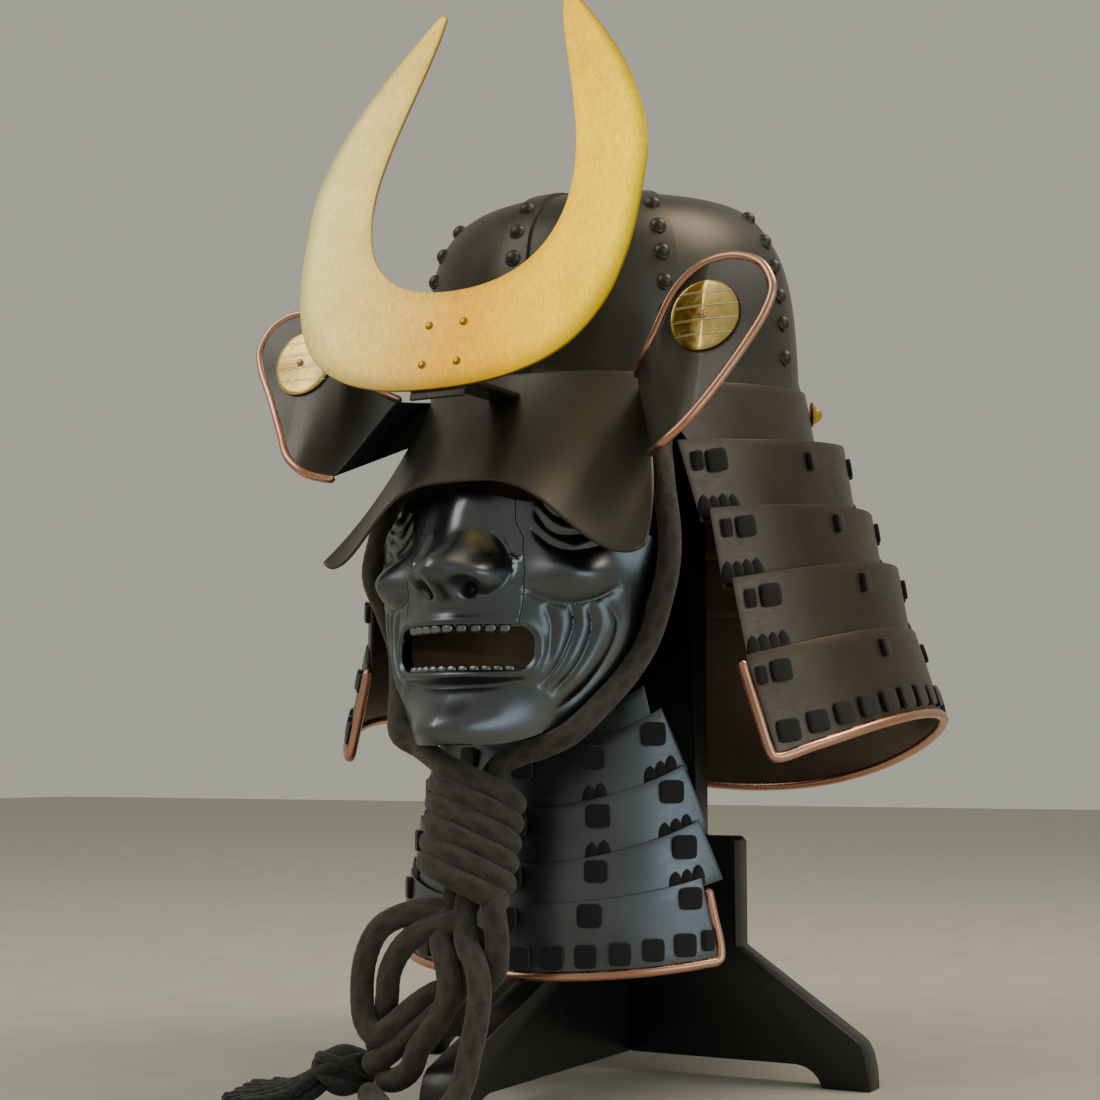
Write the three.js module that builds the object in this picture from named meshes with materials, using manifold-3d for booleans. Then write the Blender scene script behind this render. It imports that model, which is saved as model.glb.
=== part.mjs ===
// Kabuto: a riveted helmet bowl with visor, crescent crest, side wings and a laced neck guard,
// an iron face mask with a throat guard, a tied chin cord, and the cross-board stand that carries it.
// Units are millimetres, +Z is up, -Y is the wearer's front and +X the wearer's left.
import * as THREE from 'three';
import { mergeVertices } from 'three/addons/utils/BufferGeometryUtils.js';
import Module from 'manifold-3d';

const wasm = await Module();
wasm.setup();

// Driving dimensions
const fitGap = 0.4;
const plateWall = 1.6;
const throatWall = 1.5;
const throatTrimRadius = 2.4;
const frameShiftY = -7.3;

const bowl = {
  halfWidth: 112, front: 136, rear: 122, centreY: 9, rimZ: 400, height: 138,
  power: 4.2, leanDeg: 5, wall: 2, bandGrow: 1.7, bandTop: 20,
};
const rivet = { radius: 4.7, height: 3.6, sides: 5, rows: [34, 57, 79, 99, 117] };
const crown = { radius: 25, rise: 9, openRadius: 10, openRise: 13 };
const crest = {
  footY: -214, footZ: 387, leanDeg: 17, wall: 2,
  wideAt: 125, outerHalf: 108.5, innerHalf: 65, innerFoot: 60, tipX: 41, tipZ: 254,
};
const holder = { halfWidth: 17, plateTop: 52, plateFoot: -4, wall: 2.2, armHalf: 10, armZ: 392, armWall: 3, armEnd: -139 };
const visor = {
  topHalf: 66, topZ: 410, edgeHalf: 103, edgeY: -193.4, edgeZ: 340.5, lobeDrop: 41.6, lobeX: 94,
};
const wing = { discX: 131, discZ: 425, discRadius: 20, discWall: 1.6, trimRadius: 2.4 };
// Wing outline seen from the front, from its root to its outermost point, above and below
const wingUpper = [[78, 402], [86, 407], [101, 421], [115, 447], [129, 456], [146.5, 458], [160, 452], [166, 443]];
const wingLower = [[102, 352], [109, 353], [118, 357], [130, 368], [141, 385], [155, 408], [164.5, 425], [167.6, 436]];
const cord = { radius: 6.5, sides: 8 };
const wrap = { top: [0, -165, 185], foot: [0, -183, 116], radius: 27, grooveDepth: 4, turns: 6 };
const board = {
  wall: 18, columnHalf: 54.5, columnTop: 506, shoulderHalf: 80, shoulderTop: 143.5, shoulderFoot: 78.8,
  toeZ: 29.4, archZ: 12.6, footLength: 29, joinZ: 250,
};
const lateralReach = 161.7;
const frontReach = 222;
const rearReach = 176;
const headPad = { radius: 60, footZ: 506 };

// Neck guard, one row for each line from the top of the first lame to the bottom rim.
// half: half-width, centre: y of the widest point, front and rear: reach from it,
// z, slope, sag: the line's height is z + slope * y - sag * y * y
const guardLines = [
  { half: 116.2, centre: 8, front: 139.8, rear: 126, z: 414, slope: 0.1, sag: 0 },
  { half: 137.6, centre: 14.8, front: 162, rear: 147, z: 379, slope: 0.1, sag: 0 },
  { half: 152.4, centre: 23.2, front: 170.7, rear: 155, z: 339.4, slope: 0.06, sag: 0.0004 },
  { half: 166.6, centre: 29.5, front: 179, rear: 163, z: 305.3, slope: 0.09, sag: 0.00075 },
  { half: 174.7, centre: 35.1, front: 180.8, rear: 171, z: 266.2, slope: 0.11, sag: 0.0011 },
  { half: 189.7, centre: 40, front: 189.7, rear: 188, z: 213.8, slope: 0.144, sag: 0.00148 },
];
// Each lame's foot lies inset within the next line and overlaps it; its end angles are past the side
const guardLames = [
  { inset: 16.4, overlap: 8, endTop: 52, endFoot: 40 },
  { inset: 9, overlap: 8, endTop: 48, endFoot: 45.5 },
  { inset: 9, overlap: 7, endTop: 45, endFoot: 44.5 },
  { inset: 2.3, overlap: 7, endTop: 44, endFoot: 43 },
  { inset: 0, overlap: 0, endTop: 45, endFoot: 42.3 },
];
const laceTurns = [-37, 22, 90, 158, 217];
const lace = { spreadDeg: 6, rise: 9, tipWall: 3 };
const guardTrimRadius = 2.6;
const studTurn = 27;

// Throat guard, one row for each lame: radius and height of its two edges at the front,
// the rise of each edge at the lame's end, and the end's angle from the front, top and foot
const throatCentreY = -20;
const throatLames = [
  { name: 'throat_collar', rTop: 89, rFoot: 95.5, top: 210, foot: 184, riseTop: 22, riseFoot: 20, endTop: 43, endFoot: 46 },
  { name: 'throat_lame_1', rTop: 95.9, rFoot: 101.8, top: 195, foot: 158, riseTop: 24, riseFoot: 26, endTop: 48, endFoot: 56 },
  { name: 'throat_lame_2', rTop: 104, rFoot: 107.8, top: 163, foot: 128, riseTop: 24, riseFoot: 24, endTop: 54, endFoot: 61 },
  { name: 'throat_lame_3', rTop: 110, rFoot: 113.8, top: 132, foot: 106, riseTop: 24, riseFoot: 17, endTop: 57, endFoot: 64 },
  { name: 'throat_lame_4', rTop: 116, rFoot: 118, top: 110, foot: 71, riseTop: 15, riseFoot: 8, endTop: 57, endFoot: 62 },
];

// Face mask: distance of its surface from the axis (0, axisY) by height and by angle from the front
const mask = {
  axisY: -105, endDeg: 84, wall: 2, noseHalf: 35, noseFoot: 257.4,
  mouthHalf: 42, mouthTop: 257, mouthFoot: 236, mouthRound: 8,
};
const maskSections = [
  { z: 190, reach: [94, 74, 66, 66] },
  { z: 210, reach: [96, 80, 67, 64] },
  { z: 232, reach: [90, 83, 74, 66] },
  { z: 252, reach: [93, 84, 80, 73] },
  { z: 275, reach: [90, 85, 84, 82] },
  { z: 297, reach: [84, 82, 85, 95] },
  { z: 345, reach: [70, 77, 85, 97] },
];
// Rounded forms raised on the mask: centre angle and height, half-sizes in degrees and mm, and rise
const maskForms = [
  { at: 0, z: 322, spread: 9, tall: 24, rise: 9 },
  { at: 0, z: 294, spread: 11, tall: 15, rise: 26 },
  { at: 11, z: 290, spread: 6, tall: 10, rise: 11 },
  { at: 0, z: 262, spread: 24, tall: 8, rise: 5 },
  { at: 0, z: 205, spread: 17, tall: 13, rise: 13 },
  { at: 46, z: 297, spread: 13, tall: 16, rise: 9 },
  { at: 42, z: 240, spread: 12, tall: 18, rise: 4 },
];
// Edges of the mask by angle from the front, every 21 degrees
const jawLine = [197, 199, 211, 236, 272];
const browLine = [338, 330, 326, 318, 306];

// Chin cord, from inside the bowl's rim round the mask's jaw to the top of the wrap, wearer's left
const chinRoute = [
  [86.4, -60, 424], [78.8, -71, 406], [73.2, -79, 391], [74, -86, 378], [79, -99, 366], [86, -112, 353],
  [91, -120, 338], [96, -125, 316], [97, -128, 297], [90.4, -124, 276.8], [82.2, -122.9, 255.5],
  [74.4, -131.7, 237.3], [64.5, -147.8, 218.6], [53.9, -162.1, 203.6], [39, -165, 196.5], [24, -164, 192.6],
  [1.2, -163, 192],
];
const knotOuter = [
  [0, -184, 109.1], [-15, -190, 110], [-30, -194, 107], [-43.5, -197, 99.5], [-52.5, -197, 84],
  [-54.8, -197, 66], [-52, -198, 50.5], [-43.5, -200, 43.5], [-32.7, -199, 49.5], [-22, -196, 59],
  [-13, -189, 66], [0, -181, 70], [13, -181, 72], [21.5, -185, 80], [23.5, -187, 96], [22, -188, 113.3],
];
const knotInner = [
  [8.8, -187, 106], [-6, -192, 102.8], [-20, -194, 98], [-31.5, -194, 89], [-39, -194, 76],
  [-41.5, -192.5, 63], [-45.7, -188, 51.9], [-50.5, -184.2, 41], [-56.6, -184.8, 30.9],
];
const knotFall = [
  [-4.6, -186, 110.5], [-7, -191, 103], [-7.4, -193, 94], [-1.5, -197, 82.5], [2, -200, 70], [0, -202, 59],
  [-6, -203.5, 49], [-14, -204, 39], [-20, -202, 28], [-33, -197, 20.5], [-46, -193, 20],
];
const knotFallRight = [
  [5, -189, 106], [8, -192, 93], [15, -196, 85], [21, -201, 74], [23, -205, 62], [22.5, -208, 50],
  [21, -211, 38], [20, -215, 26], [17, -222, 15], [8, -231, 9], [-6, -233, 8], [-20, -226, 9],
  [-34, -213, 11], [-48, -203, 15],
];
const knotLower = [
  [8, -184, 102], [8, -186, 86], [4, -190, 72], [-4, -193, 60], [-12, -195, 53], [-22, -197, 45.5],
  [-32, -198, 38], [-42, -197, 31], [-53.5, -194.4, 25.8],
];
const tassel = { head: [-70, -191, 22], headRadius: 15, reach: 66, locks: 7, spreadDeg: 66, aimDeg: 204, lockRadius: 7 };

// Shapes as solids
function signedVolume(position, index) {
  const a = new THREE.Vector3();
  const b = new THREE.Vector3();
  const c = new THREE.Vector3();
  let sum = 0;
  for (let i = 0; i < index.count; i += 3) {
    a.fromBufferAttribute(position, index.getX(i));
    b.fromBufferAttribute(position, index.getX(i + 1));
    c.fromBufferAttribute(position, index.getX(i + 2));
    sum += a.dot(b.cross(c)) / 6;
  }
  return sum;
}

function sealed(geometry) {
  const bare = geometry.clone();
  bare.deleteAttribute('normal');
  bare.deleteAttribute('uv');
  const merged = mergeVertices(bare, 1e-4);
  const index = merged.index;
  if (signedVolume(merged.attributes.position, index) < 0) {
    for (let i = 0; i < index.count; i += 3) {
      const second = index.getX(i + 1);
      index.setX(i + 1, index.getX(i + 2));
      index.setX(i + 2, second);
    }
  }
  return merged;
}

function toSolid(geometry) {
  const merged = sealed(geometry);
  const vertProperties = new Float32Array(merged.attributes.position.array);
  const triVerts = new Uint32Array(merged.index.array);
  return new wasm.Manifold(new wasm.Mesh({ numProp: 3, vertProperties, triVerts }));
}

function toGeometry(solid) {
  const mesh = solid.getMesh();
  const geometry = new THREE.BufferGeometry();
  geometry.setAttribute('position', new THREE.BufferAttribute(new Float32Array(mesh.vertProperties), 3));
  geometry.setIndex(new THREE.BufferAttribute(new Uint32Array(mesh.triVerts), 1));
  return geometry;
}

function fuse(geometries) {
  return toGeometry(geometries.map(toSolid).reduce((sum, next) => sum.add(next)));
}

function cutAway(geometry, cutter) {
  return toGeometry(toSolid(geometry).subtract(toSolid(cutter)));
}

function keepInside(geometry, other) {
  return toGeometry(toSolid(geometry).intersect(toSolid(other)));
}

// A closed sheet: surface(u, v) is its outer face, and its inner face lies one wall behind it
function sheet(surface, wall, across, up) {
  const geometry = new THREE.BoxGeometry(1, 1, 1, across, up, 1);
  const position = geometry.attributes.position;
  const step = 0.004;
  for (let i = 0; i < position.count; i++) {
    const u = position.getX(i) + 0.5;
    const v = position.getY(i) + 0.5;
    const depth = 0.5 - position.getZ(i);
    const point = surface(u, v);
    const alongU = surface(Math.min(u + step, 1), v).sub(surface(Math.max(u - step, 0), v));
    const alongV = surface(u, Math.min(v + step, 1)).sub(surface(u, Math.max(v - step, 0)));
    const normal = alongU.cross(alongV).normalize();
    point.addScaledVector(normal, -depth * wall);
    position.setXYZ(i, point.x, point.y, point.z);
  }
  return sealed(geometry);
}

function tube(points, radius, sides, steps) {
  const path = new THREE.CatmullRomCurve3(points.map((p) => new THREE.Vector3(...p)), false, 'centripetal');
  const section = new THREE.Shape();
  for (let i = 0; i < sides; i++) {
    const turn = (i / sides) * Math.PI * 2;
    const x = radius * Math.cos(turn);
    const y = radius * Math.sin(turn);
    if (i === 0) section.moveTo(x, y);
    else section.lineTo(x, y);
  }
  section.closePath();
  return new THREE.ExtrudeGeometry(section, { steps, bevelEnabled: false, extrudePath: path });
}

function mirrored(points) {
  return points.map(([x, y, z]) => [-x, y, z]);
}

function flipX(geometry) {
  const copy = geometry.clone();
  copy.scale(-1, 1, 1);
  return sealed(copy);
}

const mix = THREE.MathUtils.lerp;
const smooth = THREE.MathUtils.smoothstep;
const radians = THREE.MathUtils.degToRad;

// Helmet bowl
const lean = radians(bowl.leanDeg);

function leanPoint(x, y, z) {
  const turnedY = y * Math.cos(lean) - z * Math.sin(lean);
  const turnedZ = bowl.rimZ + y * Math.sin(lean) + z * Math.cos(lean);
  return new THREE.Vector3(x, turnedY, turnedZ);
}

// A point of the dome: turn 0 is the front and runs to the wearer's left, rise is its height share
function domePoint(turn, ratio, rise, grow) {
  const depth = Math.cos(turn) > 0 ? bowl.front : bowl.rear;
  const x = (bowl.halfWidth + grow) * ratio * Math.sin(turn);
  const y = bowl.centreY - (depth + grow) * ratio * Math.cos(turn);
  return leanPoint(x, y, (bowl.height + grow) * rise);
}

function domeSolid(grow, footZ, segments, rings) {
  const profile = [];
  for (let i = 0; i <= rings; i++) {
    const share = Math.sin((Math.PI / 2) * (i / rings)) ** 2;
    const angle = (Math.PI / 2) * (1 - share);
    const ratio = i === 0 ? 0 : Math.cos(angle) ** (2 / bowl.power);
    const rise = i === rings ? 0 : Math.sin(angle) ** (2 / bowl.power);
    profile.push(new THREE.Vector2(ratio, rise));
  }
  profile.push(new THREE.Vector2(1, footZ / bowl.height));
  profile.push(new THREE.Vector2(0, footZ / bowl.height));
  const geometry = new THREE.LatheGeometry(profile, segments);
  const position = geometry.attributes.position;
  for (let i = 0; i < position.count; i++) {
    const x = position.getX(i);
    const z = position.getZ(i);
    const point = domePoint(Math.atan2(x, z), Math.hypot(x, z), position.getY(i), grow);
    position.setXYZ(i, point.x, point.y, point.z);
  }
  return geometry;
}

function domeAtHeight(turn, height, grow) {
  const rise = Math.min(height / bowl.height, 1);
  const ratio = (1 - rise ** bowl.power) ** (1 / bowl.power);
  return domePoint(turn, ratio, rise, grow);
}

function makeRivet(turn, height) {
  const base = domeAtHeight(turn, height, -0.8);
  const tip = domeAtHeight(turn, height, 6);
  const profile = [
    new THREE.Vector2(0, rivet.height + 0.8),
    new THREE.Vector2(rivet.radius, 0.8),
    new THREE.Vector2(rivet.radius, -0.6),
    new THREE.Vector2(0, -0.6),
  ];
  const geometry = new THREE.LatheGeometry(profile, rivet.sides);
  const aim = new THREE.Quaternion().setFromUnitVectors(new THREE.Vector3(0, 1, 0), tip.sub(base).normalize());
  geometry.applyQuaternion(aim);
  geometry.translate(base.x, base.y, base.z);
  return geometry;
}

function makeBowl() {
  let shell = toSolid(domeSolid(0, 0, 28, 6));
  const bandCut = new THREE.BoxGeometry(400, 400, 60).translate(0, 0, -30 + bowl.bandTop);
  const band = domeSolid(bowl.bandGrow, 0, 28, 6);
  const slab = bandCut.translate(0, 0, 0);
  const position = slab.attributes.position;
  for (let i = 0; i < position.count; i++) {
    const point = leanPoint(position.getX(i), position.getY(i), position.getZ(i));
    position.setXYZ(i, point.x, point.y, point.z);
  }
  shell = shell.add(toSolid(keepInside(band, slab)));
  for (let seam = 0; seam < 8; seam++) {
    for (const height of rivet.rows) {
      const hidden = height < 30 && (seam < 2 || seam > 6);
      if (!hidden) shell = shell.add(toSolid(makeRivet((seam * Math.PI) / 4, height)));
    }
  }
  return toGeometry(shell.subtract(toSolid(domeSolid(-bowl.wall, -8, 28, 5))));
}

function makeCrown() {
  const profile = [
    [crown.openRadius, 0], [crown.radius, -3], [crown.radius, 0], [crown.radius - 4, 3],
    [crown.openRadius + 5, 5], [crown.openRadius + 3, crown.openRise], [crown.openRadius, crown.openRise],
  ];
  const points = profile.map(([r, z]) => new THREE.Vector2(r, z));
  points.push(points[0].clone());
  const geometry = new THREE.LatheGeometry(points, 14);
  geometry.rotateX(Math.PI / 2);
  geometry.rotateX(lean);
  const top = domePoint(0, 0, 1, 0);
  geometry.translate(top.x, top.y, top.z + 0.5);
  return cutAway(geometry, domeSolid(fitGap, 0, 28, 6));
}

// Visor
function visorTop(u) {
  const x = visor.topHalf * u;
  const y = bowl.centreY - 1.2 - bowl.front * Math.sqrt(1 - (x / bowl.halfWidth) ** 2);
  return new THREE.Vector3(x * 1.02, y - plateWall - bowl.bandGrow - 0.6, visor.topZ);
}

function visorEdge(u) {
  const x = visor.edgeHalf * u;
  const share = Math.min(Math.abs(x) / visor.lobeX, 1);
  const drop = (0.5 - 0.5 * Math.cos(Math.PI * share)) ** 2;
  const corner = Math.max(Math.abs(x) - visor.lobeX, 0);
  const z = visor.edgeZ - visor.lobeDrop * drop + 0.05 * corner * corner;
  return new THREE.Vector3(x, visor.edgeY + 19.4 * (x / 95) ** 2, z);
}

function visorPoint(u, v) {
  const side = 2 * u - 1;
  const edge = visorEdge(side);
  const top = visorTop(side);
  const bend = new THREE.Vector3(92 * side, mix(-152, -120, side * side), mix(371, 345, side * side));
  const t = 1 - v;
  return new THREE.Vector3()
    .addScaledVector(top, (1 - t) ** 2)
    .addScaledVector(bend, 2 * t * (1 - t))
    .addScaledVector(edge, t * t);
}

// Crest
const crestLean = radians(crest.leanDeg);

function crestPlane(geometry, behind) {
  geometry.rotateX(Math.PI / 2);
  geometry.translate(0, behind, 0);
  geometry.rotateX(-crestLean);
  geometry.translate(0, crest.footY, crest.footZ);
  return geometry;
}

function makeCrest() {
  const c = crest;
  const shape = new THREE.Shape();
  shape.moveTo(0, 0);
  shape.bezierCurveTo(92, 0, c.outerHalf, 40, c.outerHalf, c.wideAt);
  shape.bezierCurveTo(c.outerHalf, 162, 84, 206, c.tipX + 1.5, c.tipZ);
  shape.lineTo(c.tipX - 2, c.tipZ - 3);
  shape.bezierCurveTo(42, 215, c.innerHalf, 165, c.innerHalf, c.wideAt);
  shape.bezierCurveTo(c.innerHalf, 85, 45, c.innerFoot, 0, c.innerFoot);
  shape.bezierCurveTo(-45, c.innerFoot, -c.innerHalf, 85, -c.innerHalf, c.wideAt);
  shape.bezierCurveTo(-c.innerHalf, 165, -42, 215, -c.tipX + 2, c.tipZ - 3);
  shape.lineTo(-c.tipX - 1.5, c.tipZ);
  shape.bezierCurveTo(-84, 206, -c.outerHalf, 162, -c.outerHalf, c.wideAt);
  shape.bezierCurveTo(-c.outerHalf, 40, -92, 0, 0, 0);
  const plate = new THREE.ExtrudeGeometry(shape, { depth: c.wall, bevelEnabled: false, curveSegments: 8 });
  return sealed(crestPlane(plate, c.wall / 2));
}

function makeHolder() {
  const tall = holder.plateTop - holder.plateFoot;
  const plate = new THREE.BoxGeometry(holder.halfWidth * 2, tall, holder.wall);
  plate.translate(0, holder.plateFoot + tall / 2, -holder.wall / 2);
  crestPlane(plate, crest.wall / 2 + fitGap);
  const start = crest.footY + 5;
  const end = holder.armEnd;
  const arm = new THREE.BoxGeometry(holder.armHalf * 2, end - start, holder.armWall);
  arm.translate(0, (start + end) / 2, holder.armZ + 3);
  const joined = toSolid(plate).add(toSolid(arm));
  const shifted = (u, v) => visorPoint(u, v).add(new THREE.Vector3(0, -fitGap, fitGap));
  return toGeometry(joined.subtract(toSolid(sheet(shifted, 14, 12, 6))));
}

// Side wings
function wingDepth(x, z) {
  const toRoot = Math.max(105 - x, 0);
  const plan = -154.5 + 0.1 * Math.abs(x - wing.discX) + 0.029 * toRoot * toRoot;
  const high = z - wing.discZ;
  const curl = 0.14 * high + 0.003 * high * Math.abs(high);
  return plan + curl * smooth(x, 85, 125);
}

function wingEdge(upper, share, inset) {
  const curve = new THREE.SplineCurve((upper ? wingUpper : wingLower).map(([x, z]) => new THREE.Vector2(x, z)));
  const point = curve.getPoint(share);
  const ahead = curve.getTangent(share);
  const side = upper ? 1 : -1;
  const x = point.x + ahead.y * inset * side;
  const z = point.y - ahead.x * inset * side;
  return new THREE.Vector3(x, wingDepth(x, z), z);
}

// The wing is bent out from the front edge of the first neck lame
function wingPoint(u, v) {
  const foldAt = 0.3;
  const inset = wing.trimRadius + fitGap + 0.4;
  const share = mix(0.02, 0.965, Math.max((u - foldAt) / (1 - foldAt), 0));
  const point = wingEdge(false, share, inset).lerp(wingEdge(true, share, inset), v);
  if (u < foldAt) {
    const lameShare = mix(0.5, 1, v);
    const lame = guardLames[0];
    const seat = guardPoint(0, -mix(lame.endFoot, lame.endTop, lameShare) - 0.3, lameShare, 0);
    return seat.lerp(point, u / foldAt);
  }
  point.y = wingDepth(point.x, point.z);
  return point;
}

function makeWingTrim() {
  const route = [];
  for (const share of [0, 0.12, 0.25, 0.4, 0.55, 0.7, 0.85, 1]) route.push(wingEdge(true, share, 0));
  for (const share of [1, 0.85, 0.7, 0.55, 0.4, 0.25, 0.12, 0]) route.push(wingEdge(false, share, 0));
  const points = route.map((p) => [p.x, p.y + plateWall / 2, p.z]);
  return tube(points, wing.trimRadius, 5, 24);
}

function makeDisc() {
  const profile = [[0, 0], [wing.discRadius, 0], [wing.discRadius, wing.discWall], [0, wing.discWall]];
  const geometry = new THREE.LatheGeometry(profile.map(([r, h]) => new THREE.Vector2(r, h)), 18);
  const position = geometry.attributes.position;
  for (let i = 0; i < position.count; i++) {
    const x = wing.discX + position.getX(i);
    const z = wing.discZ + position.getZ(i);
    position.setXYZ(i, x, wingDepth(x, z) - 2 * fitGap - position.getY(i), z);
  }
  return sealed(geometry);
}

// Neck guard
function ellipsePoint(line, turnDeg, inset) {
  const turn = radians(turnDeg);
  const reach = Math.sin(turn) < 0 ? line.front : line.rear;
  const x = (line.half - inset) * Math.cos(turn);
  const y = line.centre + (reach - inset) * Math.sin(turn);
  return new THREE.Vector3(x, y, line.z + line.slope * y - line.sag * y * y);
}

function guardPoint(k, turnDeg, share, inward) {
  const lame = guardLames[k];
  const top = ellipsePoint(guardLines[k], turnDeg, inward);
  const foot = ellipsePoint(guardLines[k + 1], turnDeg, lame.inset + inward);
  foot.z -= lame.overlap;
  return foot.lerp(top, share);
}

function makeLame(k) {
  const lame = guardLames[k];
  const last = k === guardLames.length - 1;
  const footShare = last ? 0.06 : 0;
  const endTrim = last ? 2.3 : 0;
  const surface = (u, v) => {
    const share = mix(footShare, 1, v);
    const end = mix(lame.endFoot, lame.endTop, share) - endTrim;
    return guardPoint(k, mix(-end, 180 + end, u), share, 0);
  };
  return sheet(surface, plateWall, 26, 1);
}

function makeGuardTrim() {
  const k = guardLames.length - 1;
  const lame = guardLames[k];
  const route = [];
  for (const share of [0.97, 0.7, 0.4, 0.12]) {
    route.push(guardPoint(k, -mix(lame.endFoot, lame.endTop, share), share, 0));
  }
  route.push(guardPoint(k, -lame.endFoot + 0.3, 0.02, 0));
  for (let turn = -34; turn <= 90; turn += 15.5) route.push(guardPoint(k, turn, 0, 0));
  const near = route.map((p) => [p.x, p.y, p.z]);
  const far = mirrored(near).reverse().slice(1);
  const points = near.concat(far).map(([x, y, z]) => {
    const inward = new THREE.Vector2(x, y - 40).setLength(plateWall / 2);
    return [x - inward.x, y - inward.y, z];
  });
  return tube(points, guardTrimRadius, 5, 56);
}

function makeLace(k, turnDeg) {
  const next = guardLines[k + 1];
  const upper = guardLames[k];
  const geometry = new THREE.BoxGeometry(1, 1, 1, 2, 1, 1);
  const position = geometry.attributes.position;
  for (let i = 0; i < position.count; i++) {
    const turn = turnDeg + position.getX(i) * lace.spreadDeg * 2;
    const v = position.getY(i) + 0.5;
    const line = ellipsePoint(next, turn, 0);
    const z = line.z + mix(1 - upper.overlap, lace.rise, v);
    const topZ = guardPoint(k, turn, 1, 0).z;
    const footZ = guardPoint(k, turn, 0, 0).z;
    const inner = guardPoint(k, turn, (z - footZ) / (topZ - footZ), -fitGap);
    const outer = ellipsePoint(next, turn, plateWall + 2.5 * fitGap);
    const full = Math.hypot(outer.x - inner.x, outer.y - inner.y);
    const wall = mix(full, lace.tipWall, v);
    const out = new THREE.Vector2(outer.x - inner.x, outer.y - inner.y).setLength(wall);
    const depth = position.getZ(i) + 0.5;
    position.setXYZ(i, inner.x + out.x * depth, inner.y + out.y * depth, z);
  }
  return sealed(geometry);
}

function makeStud() {
  const profile = [[0, 0], [7, 0], [8, 1], [5, 4], [3.4, 6.5], [0, 7.5]];
  const geometry = new THREE.LatheGeometry(profile.map(([r, h]) => new THREE.Vector2(r, h)), 8);
  const seat = guardPoint(0, studTurn, 0.72, 0);
  const aim = new THREE.Vector3(seat.x, seat.y - guardLines[0].centre, 0).normalize();
  geometry.applyQuaternion(new THREE.Quaternion().setFromUnitVectors(new THREE.Vector3(0, 1, 0), aim));
  geometry.translate(seat.x + aim.x * 1.6, seat.y + aim.y * 1.6, seat.z);
  return sealed(geometry);
}

// Face mask
function maskReach(deg, z) {
  const side = Math.abs(deg);
  let row = 0;
  while (row < maskSections.length - 2 && maskSections[row + 1].z < z) row += 1;
  const low = maskSections[row];
  const high = maskSections[row + 1];
  const reachAt = (section) => {
    const points = section.reach.map((r, i) => new THREE.Vector2(i, r));
    return new THREE.SplineCurve(points).getPoint(side / 90).y;
  };
  let reach = mix(reachAt(low), reachAt(high), THREE.MathUtils.clamp((z - low.z) / (high.z - low.z), 0, 1));
  for (const form of maskForms) {
    const tall = ((z - form.z) / form.tall) ** 2;
    reach += form.rise * Math.exp(-(((side - form.at) / form.spread) ** 2) - tall);
    if (form.at > 0) reach += form.rise * Math.exp(-(((side + form.at) / form.spread) ** 2) - tall);
  }
  return reach;
}

function maskPoint(deg, z, inward) {
  const reach = maskReach(deg, z) - inward;
  const turn = radians(deg);
  return new THREE.Vector3(reach * Math.sin(turn), mask.axisY - reach * Math.cos(turn), z);
}

function edgeHeight(line, deg) {
  const points = line.map((z, i) => new THREE.Vector2(i, z));
  return new THREE.SplineCurve(points).getPoint(Math.abs(deg) / 84).y;
}

const jawShare = 0.16;

function maskSurface(u, v) {
  const deg = mix(-mask.endDeg, mask.endDeg, u);
  const jawZ = edgeHeight(jawLine, deg);
  if (v >= jawShare) {
    const share = (v - jawShare) / (1 - jawShare);
    return maskPoint(deg, mix(jawZ, edgeHeight(browLine, deg), share), 0);
  }
  const jaw = maskPoint(deg, jawZ, 0);
  const collar = throatLames[0];
  const collarDeg = THREE.MathUtils.clamp(deg * 0.62, -collar.endTop, collar.endTop);
  const seat = throatPoint(collar, collarDeg, 0.75, -fitGap - 0.3);
  const flange = maskPoint(deg, jawZ, 6);
  seat.lerp(flange, smooth(Math.abs(deg), 50, 70));
  return seat.lerp(jaw, v / jawShare);
}

function frontPrism(shape) {
  const prism = new THREE.ExtrudeGeometry(shape, { depth: 120, bevelEnabled: false, curveSegments: 4 });
  prism.rotateX(Math.PI / 2);
  prism.translate(0, -140, 0);
  return prism;
}

function mouthPrism() {
  const { mouthHalf: half, mouthTop: top, mouthFoot: foot, mouthRound: round } = mask;
  const shape = new THREE.Shape();
  shape.moveTo(-half + round, foot);
  shape.lineTo(half - round, foot);
  shape.quadraticCurveTo(half, foot, half, foot + round);
  shape.lineTo(half, top - round);
  shape.quadraticCurveTo(half, top, half - round, top);
  shape.lineTo(-half + round, top);
  shape.quadraticCurveTo(-half, top, -half, top - round);
  shape.lineTo(-half, foot + round);
  shape.quadraticCurveTo(-half, foot, -half + round, foot);
  return frontPrism(shape);
}

function nosePrism(grow) {
  const half = mask.noseHalf + grow;
  const shape = new THREE.Shape();
  shape.moveTo(-half, mask.noseFoot - 2 - grow);
  shape.lineTo(half, mask.noseFoot - 2 - grow);
  shape.lineTo(half + 2, 290);
  shape.lineTo(half - 7, 318);
  shape.lineTo(half - 12, 400);
  shape.lineTo(-half + 12, 400);
  shape.lineTo(-half + 7, 318);
  shape.lineTo(-half - 2, 290);
  return frontPrism(shape);
}

function nostril(side) {
  const hole = new THREE.CylinderGeometry(4.2, 4.2, 30, 8);
  hole.rotateX(radians(20));
  const seat = maskPoint(side * 6.5, 283, 2);
  hole.translate(seat.x, seat.y, 280);
  return hole;
}

const maskShell = sheet(maskSurface, mask.wall, 24, 14);
const openShell = cutAway(maskShell, mouthPrism());

function makeNosePiece() {
  let piece = keepInside(openShell, nosePrism(0));
  for (const side of [-1, 1]) piece = cutAway(piece, nostril(side));
  return piece;
}

function makeTeeth(lowZ, highZ) {
  const surface = (u, v) => maskPoint(mix(-24, 24, u), mix(lowZ, highZ, v), mask.wall + fitGap + 0.6);
  return sheet(surface, 2.4, 8, 1);
}

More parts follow.
